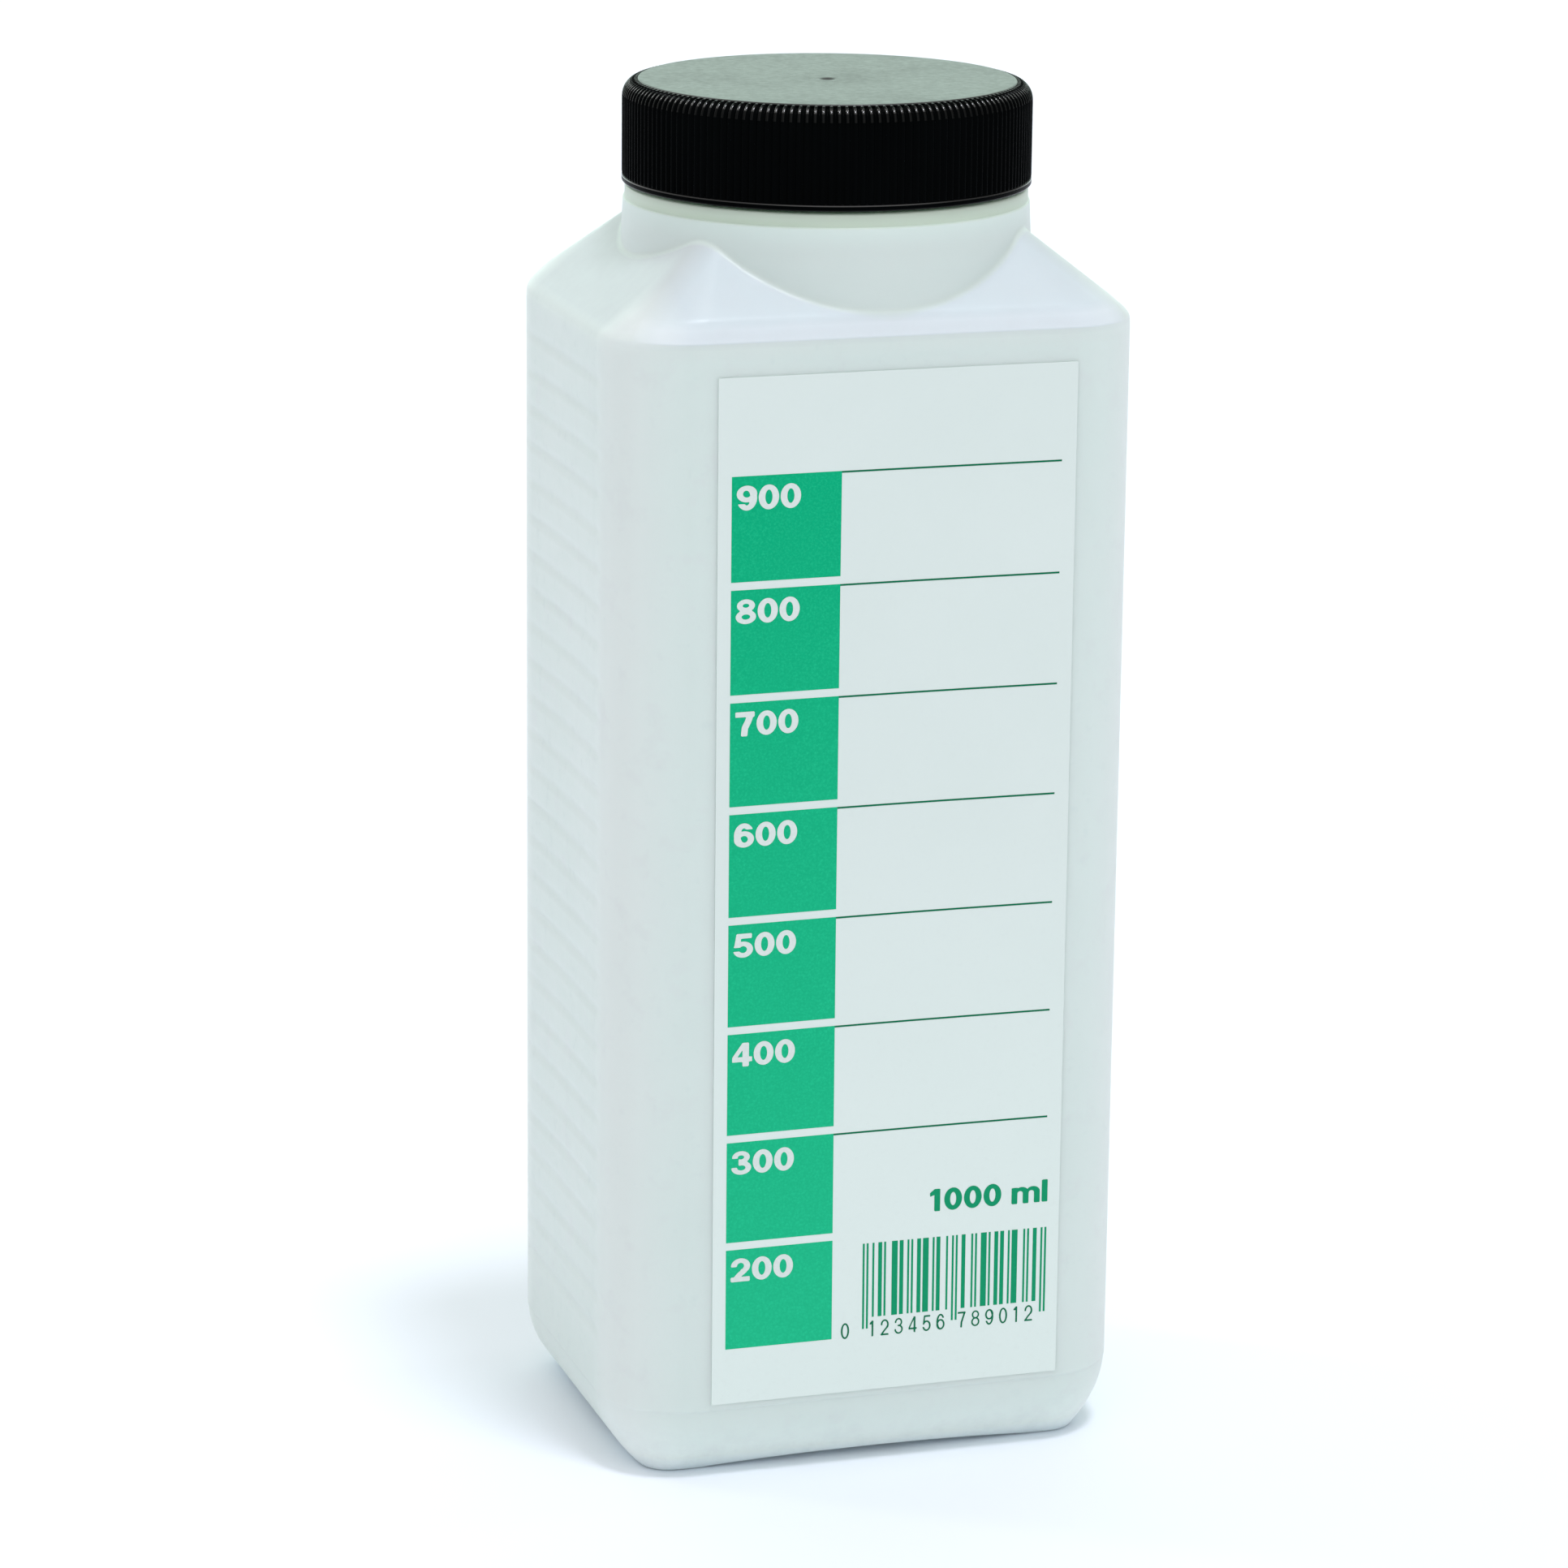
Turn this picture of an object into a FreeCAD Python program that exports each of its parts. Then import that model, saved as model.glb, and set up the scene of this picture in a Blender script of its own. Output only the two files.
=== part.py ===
import FreeCAD, Part
import Sketcher
import math
import os
from FreeCAD import Vector, Placement, Rotation

# Square-shouldered wide-neck bottle, 1000 ml, with screw cap, sealing disc and adhesive label.
# Axes: +Z up, the label faces -Y, the moulded grip grooves are on the -X and +X faces.
# Origin: on the standing plane, on the neck axis. Millimetres.

doc = FreeCAD.newDocument("bottle")
sheet = doc.addObject("Spreadsheet::Sheet", "sizes")

values = [
    # body
    ("body_wide", 88.5), ("body_deep", 69.5), ("corner_rad", 13.9),
    ("wall", 1.3), ("foot_high", 12.2), ("foot_step", 0.15), ("edge_wide", 189.2), ("edge_deep", 191.6),
    ("shoulder_top", 206.0), ("slope_wide", 0.815), ("slope_deep", 0.82), ("tip_rad", 1.5),
    ("foot_wide", 6.7), ("foot_deep", 5.7), ("floor_up", 3.9), ("recess_up", 2.5), ("ring_wide", 6.5), ("arch_up", 1.1),
    # grip grooves
    ("groove_count", 27), ("groove_step", 6.11), ("groove_low", 22.9),
    ("groove_half", 1.35), ("groove_deep", 0.25), ("groove_run", 44.0),
    # neck
    ("neck_rad", 33.0), ("neck_foot", 33.3), ("ledge_up", 206.1), ("collar_rad", 32.7), ("collar_up", 208.3),
    ("finish_rad", 29.4), ("bore_rad", 27.5), ("rim_up", 221.9),
    # thread
    ("pitch", 6.0), ("ridge_out", 1.35), ("ridge_foot", 2.6), ("ridge_tip", 1.0),
    ("neck_start", 212.4), ("neck_turns", 1.25), ("cap_start", 210.7), ("cap_turns", 1.25),
    # cap
    ("cap_rad", 33.2), ("cap_low", 208.7), ("cap_top", 225.2), ("disc_rad", 30.5),
    ("skirt_in", 31.3), ("plate_low", 223.4), ("rib_count", 162), ("rib_deep", 0.36), ("flange_high", 1.1),
    ("ridge_in", 1.1),
    # sealing disc
    ("disc_low", 221.9), ("disc_thick", 1.5), ("liner_rad", 31.1),
    # label
    ("label_wide", 59.8), ("label_high", 170.6), ("label_low", 13.1), ("label_shift", 1.4), ("label_thick", 0.12),
]
for i, (name, val) in enumerate(values):
    sheet.set("A%d" % (i + 1), name)
    sheet.set("B%d" % (i + 1), str(val))
    sheet.setAlias("B%d" % (i + 1), name)
doc.recompute()


def val(name):
    return float(getattr(sheet, name))


def plane(body, role):
    for f in body.Origin.OriginFeatures:
        if f.Role == role:
            return f
    raise RuntimeError("no plane " + role)


def new_body(name):
    body = doc.addObject("PartDesign::Body", name)
    body.Label = name
    return body


def bind(obj, prop, expr):
    obj.setExpression(prop, expr)


def round_rect(body, name, up, half_x, half_y, rad, x0, y0, r0, z0):
    """A rounded rectangle on the XY plane at height `up`; all four sizes are expressions."""
    sk = body.newObject("Sketcher::SketchObject", name)
    sk.AttachmentSupport = [(plane(body, "XY_Plane"), "")]
    sk.MapMode = "FlatFace"
    bind(sk, "AttachmentOffset.Base.z", up)
    hx, hy, r = x0, y0, r0
    L = Part.LineSegment
    def arc(cx, cy, a):
        c = Part.Circle(Vector(cx, cy, 0), Vector(0, 0, 1), r)
        return Part.ArcOfCircle(c, math.radians(a), math.radians(a + 90))
    geo = [
        L(Vector(-hx + r, -hy, 0), Vector(hx - r, -hy, 0)), arc(hx - r, -hy + r, 270),
        L(Vector(hx, -hy + r, 0), Vector(hx, hy - r, 0)), arc(hx - r, hy - r, 0),
        L(Vector(hx - r, hy, 0), Vector(-hx + r, hy, 0)), arc(-hx + r, hy - r, 90),
        L(Vector(-hx, hy - r, 0), Vector(-hx, -hy + r, 0)), arc(-hx + r, -hy + r, 180),
    ]
    sk.addGeometry(geo, False)
    C = Sketcher.Constraint
    cons = []
    for i in range(8):
        j = (i + 1) % 8
        # a line ends at its point 2, an arc (drawn anticlockwise) starts at 1 and ends at 2
        cons.append(C("Tangent", i, 2, j, 1))
    cons += [C("Horizontal", 0), C("Vertical", 2), C("Horizontal", 4), C("Vertical", 6)]
    cons += [C("Equal", 1, 3), C("Equal", 3, 5), C("Equal", 5, 7)]
    sk.addConstraint(cons)
    n = sk.ConstraintCount
    sk.addConstraint(C("DistanceX", -1, 1, 2, 1, hx)); sk.renameConstraint(n, "east")
    sk.addConstraint(C("DistanceX", 6, 1, -1, 1, hx)); sk.renameConstraint(n + 1, "west")
    sk.addConstraint(C("DistanceY", -1, 1, 4, 1, hy)); sk.renameConstraint(n + 2, "north")
    sk.addConstraint(C("DistanceY", 0, 1, -1, 1, hy)); sk.renameConstraint(n + 3, "south")
    sk.addConstraint(C("Radius", 1, r)); sk.renameConstraint(n + 4, "corner")
    bind(sk, "Constraints.east", half_x)
    bind(sk, "Constraints.west", half_x)
    bind(sk, "Constraints.north", half_y)
    bind(sk, "Constraints.south", half_y)
    bind(sk, "Constraints.corner", rad)
    return sk


def polygon(body, name, role, pts, closed=True):
    """A closed polygon whose points are pairs of (value, expression) for both sketch axes."""
    sk = body.newObject("Sketcher::SketchObject", name)
    sk.AttachmentSupport = [(plane(body, role), "")]
    sk.MapMode = "FlatFace"
    P = [Vector(p[0][0], p[1][0], 0) for p in pts]
    n = len(P)
    for i in range(n):
        sk.addGeometry(Part.LineSegment(P[i], P[(i + 1) % n]), False)
    for i in range(n):
        sk.addConstraint(Sketcher.Constraint("Coincident", i, 2, (i + 1) % n, 1))
    for i in range(n):
        (x, ex), (y, ey) = pts[i]
        k = sk.ConstraintCount
        if abs(x) < 1e-9:
            sk.addConstraint(Sketcher.Constraint("PointOnObject", i, 1, -2))
        else:
            sk.addConstraint(Sketcher.Constraint("DistanceX", -1, 1, i, 1, x))
            sk.renameConstraint(k, "px%d" % i)
            bind(sk, "Constraints.px%d" % i, ex)
        k = sk.ConstraintCount
        if abs(y) < 1e-9:
            sk.addConstraint(Sketcher.Constraint("PointOnObject", i, 1, -1))
        else:
            sk.addConstraint(Sketcher.Constraint("DistanceY", -1, 1, i, 1, y))
            sk.renameConstraint(k, "py%d" % i)
            bind(sk, "Constraints.py%d" % i, ey)
    return sk


def pt(ex, ey):
    """A point given as two expressions of sheet aliases; its numbers are worked out here too."""
    def num(e):
        names = {n: v for n, v in values}
        out = e
        for n in sorted(names, key=len, reverse=True):
            out = out.replace("sizes." + n, repr(float(names[n])))
        return calc(out)
    return ((num(ex), ex), (num(ey), ey))


def calc(text):
    """Adds and subtracts the terms of a plain sum such as 12.5+3.0-0.4."""
    total, sign, word = 0.0, 1.0, ""
    for ch in text + "+":
        if ch in "+-":
            if word:
                total += sign * float(word)
                word = ""
                sign = 1.0
            if ch == "-":
                sign = -sign
        elif ch != " ":
            word += ch
    return total


S = "sizes."
HX, HY = "sizes.body_wide/2", "sizes.body_deep/2"
hx, hy, cr = val("body_wide") / 2, val("body_deep") / 2, val("corner_rad")

# ------------------------------------------------------------------ bottle
body = new_body("bottle_shell")

# Outer sections from the standing ring up to the top of the shoulder:
# (height expression, inset in x, inset in y, corner radius). The foot curves in below its crease, and the
# edge between each face and its slope is rounded. edge_wide and edge_deep are the heights where the planes
# of the side slopes and of the front and back slopes would meet their faces.
foot = [(0.0, 1.0), (0.05, 0.90), (0.12, 0.773), (0.22, 0.611), (0.36, 0.4165), (0.55, 0.212), (0.78, 0.054), (0.955, 0.0)]
corner_in = 1.36
sections = []


def foot_row(up, share):
    e_up = "sizes.foot_high*%g" % up if up else "0 mm"
    ex = "(sizes.foot_step+(sizes.foot_wide-sizes.foot_step)*%g)" % share
    ey = "(sizes.foot_step+(sizes.foot_deep-sizes.foot_step)*%g)" % share
    nx = val("foot_step") + (val("foot_wide") - val("foot_step")) * share
    ny = val("foot_step") + (val("foot_deep") - val("foot_step")) * share
    return (e_up, ex, nx, ey, ny, "sizes.corner_rad-%g*%s" % (corner_in, ex), cr - corner_in * nx)


def slope_row(up, ex, nx, ey, ny, er, nr):
    """A section at edge_deep + up; an inset given as None lies on the slope's plane."""
    e_up = "sizes.edge_deep%+g" % up
    z = val("edge_deep") + up
    if ex is None:
        ex = "((%s-sizes.edge_wide)/sizes.slope_wide)" % e_up
        nx = (z - val("edge_wide")) / val("slope_wide")
    if ey is None:
        ey = "((%s-sizes.edge_deep)/sizes.slope_deep)" % e_up
        ny = up / val("slope_deep")
    return (e_up, ex, nx, ey, ny, er, nr)


for up, share in foot:
    sections.append(foot_row(up, share))
sections.append(("sizes.foot_high", "0", 0.0, "0", 0.0, "sizes.corner_rad", cr))
sections.append(slope_row(-4.1, "0", 0.0, "0", 0.0, "sizes.corner_rad", cr))
sections.append(slope_row(-3.2, "0.117", 0.117, "0", 0.0, "sizes.corner_rad-0.28", cr - 0.28))
# above this crease the front and back lean in a little before their slopes begin
sections.append(slope_row(-2.4, "0.432", 0.432, "0", 0.0, "sizes.corner_rad-0.84", cr - 0.84))
sections.append(slope_row(-1.9, "0.758", 0.758, "0.18", 0.18, "sizes.corner_rad-1.19", cr - 1.19))
sections.append(slope_row(-1.32, None, 0, "0.36", 0.36, "sizes.corner_rad-1.59", cr - 1.59))
sections.append(slope_row(-0.5, None, 0, "0.58", 0.58, "sizes.corner_rad-2.16", cr - 2.16))
sections.append(slope_row(0.36, None, 0, "0.88", 0.88, "sizes.corner_rad-2.76", cr - 2.76))
sections.append(slope_row(1.0, None, 0, None, 0, "sizes.corner_rad-3.2", cr - 3.2))
rise_w = (val("shoulder_top") - val("edge_wide")) / val("slope_wide")
rise_d = (val("shoulder_top") - val("edge_deep")) / val("slope_deep")
sections.append(("sizes.shoulder_top", "((sizes.shoulder_top-sizes.edge_wide)/sizes.slope_wide)", rise_w,
                 "((sizes.shoulder_top-sizes.edge_deep)/sizes.slope_deep)", rise_d, "sizes.tip_rad", val("tip_rad")))


def loft(kind, name, rows, shrink):
    sks = []
    for k, (e_up, ex, nx, ey, ny, er, nr) in enumerate(rows):
        sks.append(round_rect(body, "%s_%d" % (name, k), e_up,
                              "%s-%s-%s" % (HX, ex, shrink[0]), "%s-%s-%s" % (HY, ey, shrink[0]),
                              "%s-%s" % (er, shrink[2]), hx - nx - shrink[1], hy - ny - shrink[1], nr - shrink[3], 0))
    lf = body.newObject(kind, name)
    lf.Profile = sks[0]
    lf.Sections = sks[1:]
    lf.Ruled = True
    lf.Refine = False
    return lf


outer = loft("PartDesign::AdditiveLoft", "outer_form", sections, ("0", 0.0, "0", 0.0))
doc.recompute()
v0 = body.Shape.Volume

# neck, threaded finish and the ledge under the cap
neck = polygon(body, "neck_profile", "XZ_Plane", [
    pt("0", "sizes.edge_deep-7"),
    pt("sizes.neck_foot-1.2", "sizes.edge_deep-7"),
    pt("sizes.neck_foot", "sizes.edge_deep-1"),
    pt("sizes.neck_foot", "sizes.ledge_up-6.5"),
    pt("sizes.neck_rad", "sizes.ledge_up-0.15"),
    pt("sizes.neck_rad-0.1", "sizes.ledge_up"),
    pt("sizes.collar_rad", "sizes.ledge_up"),
    pt("sizes.collar_rad", "sizes.collar_up-0.2"),
    pt("sizes.collar_rad-0.2", "sizes.collar_up"),
    pt("sizes.finish_rad+0.6", "sizes.collar_up"),
    pt("sizes.finish_rad", "sizes.collar_up+0.6"),
    pt("sizes.finish_rad", "sizes.rim_up-0.6"),
    pt("sizes.finish_rad-0.6", "sizes.rim_up"),
    pt("0", "sizes.rim_up"),
])
rev = body.newObject("PartDesign::Revolution", "neck_form")
rev.Profile = neck
rev.ReferenceAxis = (neck, ["V_Axis"])
rev.Angle = 360
rev.Refine = False
doc.recompute()
v1 = body.Shape.Volume
print("outer", v0, "with neck", v1)

# cavity: the same sections drawn in by the wall, from the floor up to the inside of the shoulder
inner = []
for up, share in [(0.13, 0.86), (0.24, 0.66), (0.42, 0.41), (0.70, 0.14), (0.955, 0.01)]:
    inner.append(foot_row(up, share))
inner.append(("sizes.foot_high+0.8", "0", 0.0, "0", 0.0, "sizes.corner_rad", cr))
inner.append(slope_row(-3.0, "0", 0.0, "0", 0.0, "sizes.corner_rad", cr))
inner.append(slope_row(-1.7, "0.88", 0.88, "0", 0.0, "sizes.corner_rad-0.9", cr - 0.9))
inner.append(slope_row(-0.1, "3.1", 3.1, "0.9", 0.9, "sizes.corner_rad-1.9", cr - 1.9))
inner.append(slope_row(11.8, "(3.1+11.9/sizes.slope_wide)", 3.1 + 11.9 / val("slope_wide"),
                       "(0.9+11.9/sizes.slope_deep)", 0.9 + 11.9 / val("slope_deep"), "sizes.tip_rad+2.1", val("tip_rad") + 2.1))
hollow = loft("PartDesign::SubtractiveLoft", "cavity", inner, ("sizes.wall", val("wall"), "sizes.wall+0.1", val("wall") + 0.1))
doc.recompute()
v2 = body.Shape.Volume

bore = polygon(body, "bore_profile", "XZ_Plane", [
    pt("0", "sizes.edge_deep-5.4"),
    pt("sizes.neck_foot-sizes.wall-1.8", "sizes.edge_deep-5.4"),
    pt("sizes.neck_foot-sizes.wall", "sizes.edge_deep-0.4"),
    pt("sizes.neck_foot-sizes.wall", "sizes.ledge_up-6.5"),
    pt("sizes.neck_rad-sizes.wall", "sizes.ledge_up-2.6"),
    pt("sizes.neck_rad-sizes.wall-0.4", "sizes.ledge_up-0.4"),
    pt("sizes.bore_rad", "sizes.ledge_up+1.4"),
    pt("sizes.bore_rad", "sizes.rim_up-0.5"),
    pt("sizes.bore_rad+0.5", "sizes.rim_up+0.01"),
    pt("sizes.bore_rad+0.5", "sizes.rim_up+1"),
    pt("0", "sizes.rim_up+1"),
])
gr = body.newObject("PartDesign::Groove", "neck_bore")
gr.Profile = bore
gr.ReferenceAxis = (bore, ["V_Axis"])
gr.Angle = 360
gr.Refine = False
doc.recompute()
v3 = body.Shape.Volume
print("after cavity", v2, "after bore", v3)

# push-up of the floor: a boss inside over a recess outside, so the floor keeps its wall
boss = round_rect(body, "floor_boss", "sizes.foot_high*0.1", HX + "-sizes.foot_wide-sizes.ring_wide+sizes.wall",
                  HY + "-sizes.foot_deep-sizes.ring_wide+sizes.wall", "7",
                  hx - val("foot_wide") - val("ring_wide") + val("wall"), hy - val("foot_deep") - val("ring_wide") + val("wall"), 7.0, 0)
bp = body.newObject("PartDesign::Pad", "floor_push_up")
bp.Profile = boss
bind(bp, "Length", "sizes.floor_up-sizes.foot_high*0.1")
bp.Refine = False
rec = round_rect(body, "floor_recess", "-1 mm", HX + "-sizes.foot_wide-sizes.ring_wide", HY + "-sizes.foot_deep-sizes.ring_wide",
                 "6", hx - val("foot_wide") - val("ring_wide"), hy - val("foot_deep") - val("ring_wide"), 6.0, 0)
pk = body.newObject("PartDesign::Pocket", "base_recess")
pk.Profile = rec
pk.Reversed = True
bind(pk, "Length", "sizes.recess_up+1")
pk.Refine = False
doc.recompute()
v4 = body.Shape.Volume

# the standing edge is arched up a little between the corners, on all four sides
def arch(name, role, half, e_half, deep):
    """A shallow circular segment across one direction, cut through the standing edge."""
    sk = body.newObject("Sketcher::SketchObject", name + "_line")
    sk.AttachmentSupport = [(plane(body, role), "")]
    sk.MapMode = "FlatFace"
    up = val("arch_up")
    rad = (half * half + up * up) / (2 * up)
    a = math.asin(half / rad)
    c = Part.Circle(Vector(0, up - rad, 0), Vector(0, 0, 1), rad)
    sk.addGeometry(Part.ArcOfCircle(c, math.pi / 2 - a, math.pi / 2 + a), False)
    sk.addGeometry(Part.LineSegment(Vector(-half, 0, 0), Vector(half, 0, 0)), False)
    K = Sketcher.Constraint
    sk.addConstraint([K("Coincident", 0, 2, 1, 1), K("Coincident", 0, 1, 1, 2), K("PointOnObject", 1, 1, -1),
                      K("PointOnObject", 1, 2, -1), K("PointOnObject", 0, 3, -2)])
    n = sk.ConstraintCount
    sk.addConstraint(K("DistanceX", 1, 1, 1, 2, 2 * half)); sk.renameConstraint(n, "span")
    sk.addConstraint(K("Radius", 0, rad)); sk.renameConstraint(n + 1, "bow")
    bind(sk, "Constraints.span", "2*(%s)" % e_half)
    bind(sk, "Constraints.bow", "((%s)^2/(2*sizes.arch_up)+sizes.arch_up/2)" % e_half)
    cut = body.newObject("PartDesign::Pocket", name)
    cut.Profile = sk
    cut.Length = 2 * deep
    cut.Midplane = True
    cut.Refine = False
    return cut


arch("arch_front_back", "XZ_Plane", hx - 15.75, HX + "-15.75", 60)
arch("arch_sides", "YZ_Plane", hy - 15.25, HY + "-15.25", 60)
doc.recompute()
v5 = body.Shape.Volume
print("boss and recess", v4, "arches", v5)

# grip grooves on both side faces, cut across and repeated upwards
gs = body.newObject("Sketcher::SketchObject", "groove_profile")
gs.AttachmentSupport = [(plane(body, "XZ_Plane"), "")]
gs.MapMode = "FlatFace"
for side, nm in ((1, "east"), (-1, "west")):
    base = gs.GeometryCount
    hw, dp, z = val("groove_half"), val("groove_deep"), val("groove_low")
    P = [Vector(side * (hx + 0.5), z - hw - 0.45, 0), Vector(side * (hx + 0.5), z + hw + 0.45, 0),
         Vector(side * (hx - dp), z + hw * 0.45, 0), Vector(side * (hx - dp), z - hw * 0.45, 0)]
    for i in range(4):
        gs.addGeometry(Part.LineSegment(P[i], P[(i + 1) % 4]), False)
    for i in range(4):
        gs.addConstraint(Sketcher.Constraint("Coincident", base + i, 2, base + (i + 1) % 4, 1))
    exps = [("(HALF+0.5)", "(sizes.groove_low-sizes.groove_half-0.45)"), ("(HALF+0.5)", "(sizes.groove_low+sizes.groove_half+0.45)"),
            ("(HALF-sizes.groove_deep)", "(sizes.groove_low+sizes.groove_half*0.45)"),
            ("(HALF-sizes.groove_deep)", "(sizes.groove_low-sizes.groove_half*0.45)")]
    for i, (ex, ey) in enumerate(exps):
        n = gs.ConstraintCount
        if side > 0:
            gs.addConstraint(Sketcher.Constraint("DistanceX", -1, 1, base + i, 1, abs(P[i].x)))
        else:
            gs.addConstraint(Sketcher.Constraint("DistanceX", base + i, 1, -1, 1, abs(P[i].x)))
        gs.renameConstraint(n, "%sx%d" % (nm, i))
        bind(gs, "Constraints.%sx%d" % (nm, i), ex.replace("HALF", HX))
        n = gs.ConstraintCount
        gs.addConstraint(Sketcher.Constraint("DistanceY", -1, 1, base + i, 1, P[i].y))
        gs.renameConstraint(n, "%sz%d" % (nm, i))
        bind(gs, "Constraints.%sz%d" % (nm, i), ey)
gp = body.newObject("PartDesign::Pocket", "grip_groove")
gp.Profile = gs
gp.Midplane = True
bind(gp, "Length", "sizes.groove_run")
gp.Refine = False
doc.recompute()
lp = body.newObject("PartDesign::LinearPattern", "grip_grooves")
lp.Originals = [gp]
z_axis = None
for f in body.Origin.OriginFeatures:
    if f.Role == "Z_Axis":
        z_axis = f
lp.Direction = (z_axis, [""])
bind(lp, "Occurrences", "sizes.groove_count")
bind(lp, "Length", "sizes.groove_step*(sizes.groove_count-1)")
lp.Refine = False
body.Tip = lp
doc.recompute()
v6 = body.Shape.Volume
print("grooves", v6, "valid", body.Shape.isValid(), "solids", len(body.Shape.Solids))


def helix_ridge(name, rad, start, turns, foot_w, tip_w, outward, deep, sink):
    """A trapezoid ridge swept along a right-hand helix; the ends taper because the ridge runs out of its radius."""
    pitch = val("pitch")
    hel = Part.makeHelix(pitch, pitch * turns, rad)
    s = 1.0 if outward else -1.0
    P = [Vector(rad - s * sink, 0, -foot_w / 2), Vector(rad + s * deep, 0, -tip_w / 2),
         Vector(rad + s * deep, 0, tip_w / 2), Vector(rad - s * sink, 0, foot_w / 2)]
    wire = Part.makePolygon(P + [P[0]])
    sweep = Part.Wire(hel.Edges).makePipeShell([wire], True, True)
    obj = doc.addObject("Part::Feature", name)
    obj.Label = name
    obj.Shape = sweep
    obj.Placement = Placement(Vector(0, 0, start), Rotation())
    return obj


neck_ridge = helix_ridge("neck_thread", val("finish_rad"), val("neck_start"), val("neck_turns"),
                         val("ridge_foot"), val("ridge_tip"), True, val("ridge_out"), 0.3)
bottle = doc.addObject("Part::Fuse", "bottle")
bottle.Label = "bottle"
bottle.Base = body
bottle.Tool = neck_ridge
bottle.Refine = False
doc.recompute()
v7 = bottle.Shape.Volume
print("bottle", v7, bottle.Shape.isValid(), len(bottle.Shape.Solids), bottle.Shape.ShapeType)

# ------------------------------------------------------------------ cap
cap_body = new_body("cap_blank")
cap_profile = polygon(cap_body, "cap_profile", "XZ_Plane", [
    pt("sizes.skirt_in", "sizes.cap_low+0.5"),
    pt("sizes.skirt_in+0.5", "sizes.cap_low"),
    pt("sizes.cap_rad-0.2", "sizes.cap_low"),
    pt("sizes.cap_rad", "sizes.cap_low+0.2"),
    pt("sizes.cap_rad", "sizes.cap_top-3.0"),
    pt("sizes.cap_rad-0.25", "sizes.cap_top-1.7"),
    pt("sizes.cap_rad-0.85", "sizes.cap_top-0.75"),
    pt("sizes.cap_rad-1.7", "sizes.cap_top-0.2"),
    pt("sizes.disc_rad", "sizes.cap_top"),
    pt("0", "sizes.cap_top"),
    pt("0", "sizes.plate_low"),
    pt("sizes.skirt_in", "sizes.plate_low"),
])
cr_ = cap_body.newObject("PartDesign::Revolution", "cap_form")
cr_.Profile = cap_profile
cr_.ReferenceAxis = (cap_profile, ["V_Axis"])
cr_.Angle = 360
cr_.Refine = False
# gate mark: a small dimple at the middle of the top
gate = polygon(cap_body, "gate_profile", "XZ_Plane", [
    pt("0", "sizes.cap_top-0.45"), pt("0.7", "sizes.cap_top-0.35"), pt("1.25", "sizes.cap_top+0.01"),
    pt("1.25", "sizes.cap_top+0.5"), pt("0", "sizes.cap_top+0.5")])
gg = cap_body.newObject("PartDesign::Groove", "gate_mark")
gg.Profile = gate
gg.ReferenceAxis = (gate, ["V_Axis"])
gg.Angle = 360
gg.Refine = False
doc.recompute()
c0 = cap_body.Shape.Volume

# the ribbed outline: one tooth repeated round, above the smooth flange
n_rib = int(val("rib_count"))
R1, dR = val("cap_rad") + 0.02, val("rib_deep") + 0.02
pts = []
step = 2 * math.pi / n_rib
for k in range(n_rib):
    a = k * step
    for f, rr in ((0.0, R1), (0.34, R1), (0.52, R1 - dR), (0.82, R1 - dR)):
        t = a + f * step
        pts.append(Vector(rr * math.cos(t), rr * math.sin(t), 0))
pts.append(pts[0])
ring = Part.Face(Part.makePolygon(pts))
rib_prism = doc.addObject("Part::Feature", "rib_prism")
rib_prism.Label = "rib_prism"
rib_prism.Shape = ring.extrude(Vector(0, 0, val("cap_top") - val("cap_low") - val("flange_high") + 1))
rib_prism.Placement = Placement(Vector(0, 0, val("cap_low") + val("flange_high")), Rotation())
flange = doc.addObject("Part::Cylinder", "flange_zone")
flange.Label = "flange_zone"
bind(flange, "Radius", "sizes.cap_rad+1")
bind(flange, "Height", "sizes.flange_high+0.5")
bind(flange, "Placement.Base.z", "sizes.cap_low-0.5")
envelope = doc.addObject("Part::Fuse", "rib_envelope")
envelope.Base = rib_prism
envelope.Tool = flange
envelope.Refine = False
ribbed = doc.addObject("Part::Common", "cap_ribbed")
ribbed.Base = cap_body
ribbed.Tool = envelope
ribbed.Refine = False
cap_ridge = helix_ridge("cap_thread", val("skirt_in"), val("cap_start"), val("cap_turns"),
                        2.2, 0.9, False, val("ridge_in"), 0.3)
cap = doc.addObject("Part::Fuse", "cap")
cap.Label = "cap"
cap.Base = ribbed
cap.Tool = cap_ridge
cap.Refine = False
doc.recompute()
print("cap blank", c0, "ribbed", ribbed.Shape.Volume, "cap", cap.Shape.Volume, cap.Shape.isValid(), len(cap.Shape.Solids))

# ------------------------------------------------------------------ sealing disc
liner = new_body("seal_liner")
lk = polygon(liner, "disc_profile", "XZ_Plane", [
    pt("0", "sizes.disc_low"), pt("sizes.liner_rad", "sizes.disc_low"),
    pt("sizes.liner_rad", "sizes.disc_low+sizes.disc_thick"), pt("0", "sizes.disc_low+sizes.disc_thick")])
lr = liner.newObject("PartDesign::Revolution", "disc_form")
lr.Profile = lk
lr.ReferenceAxis = (lk, ["V_Axis"])
lr.Angle = 360
doc.recompute()

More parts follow.
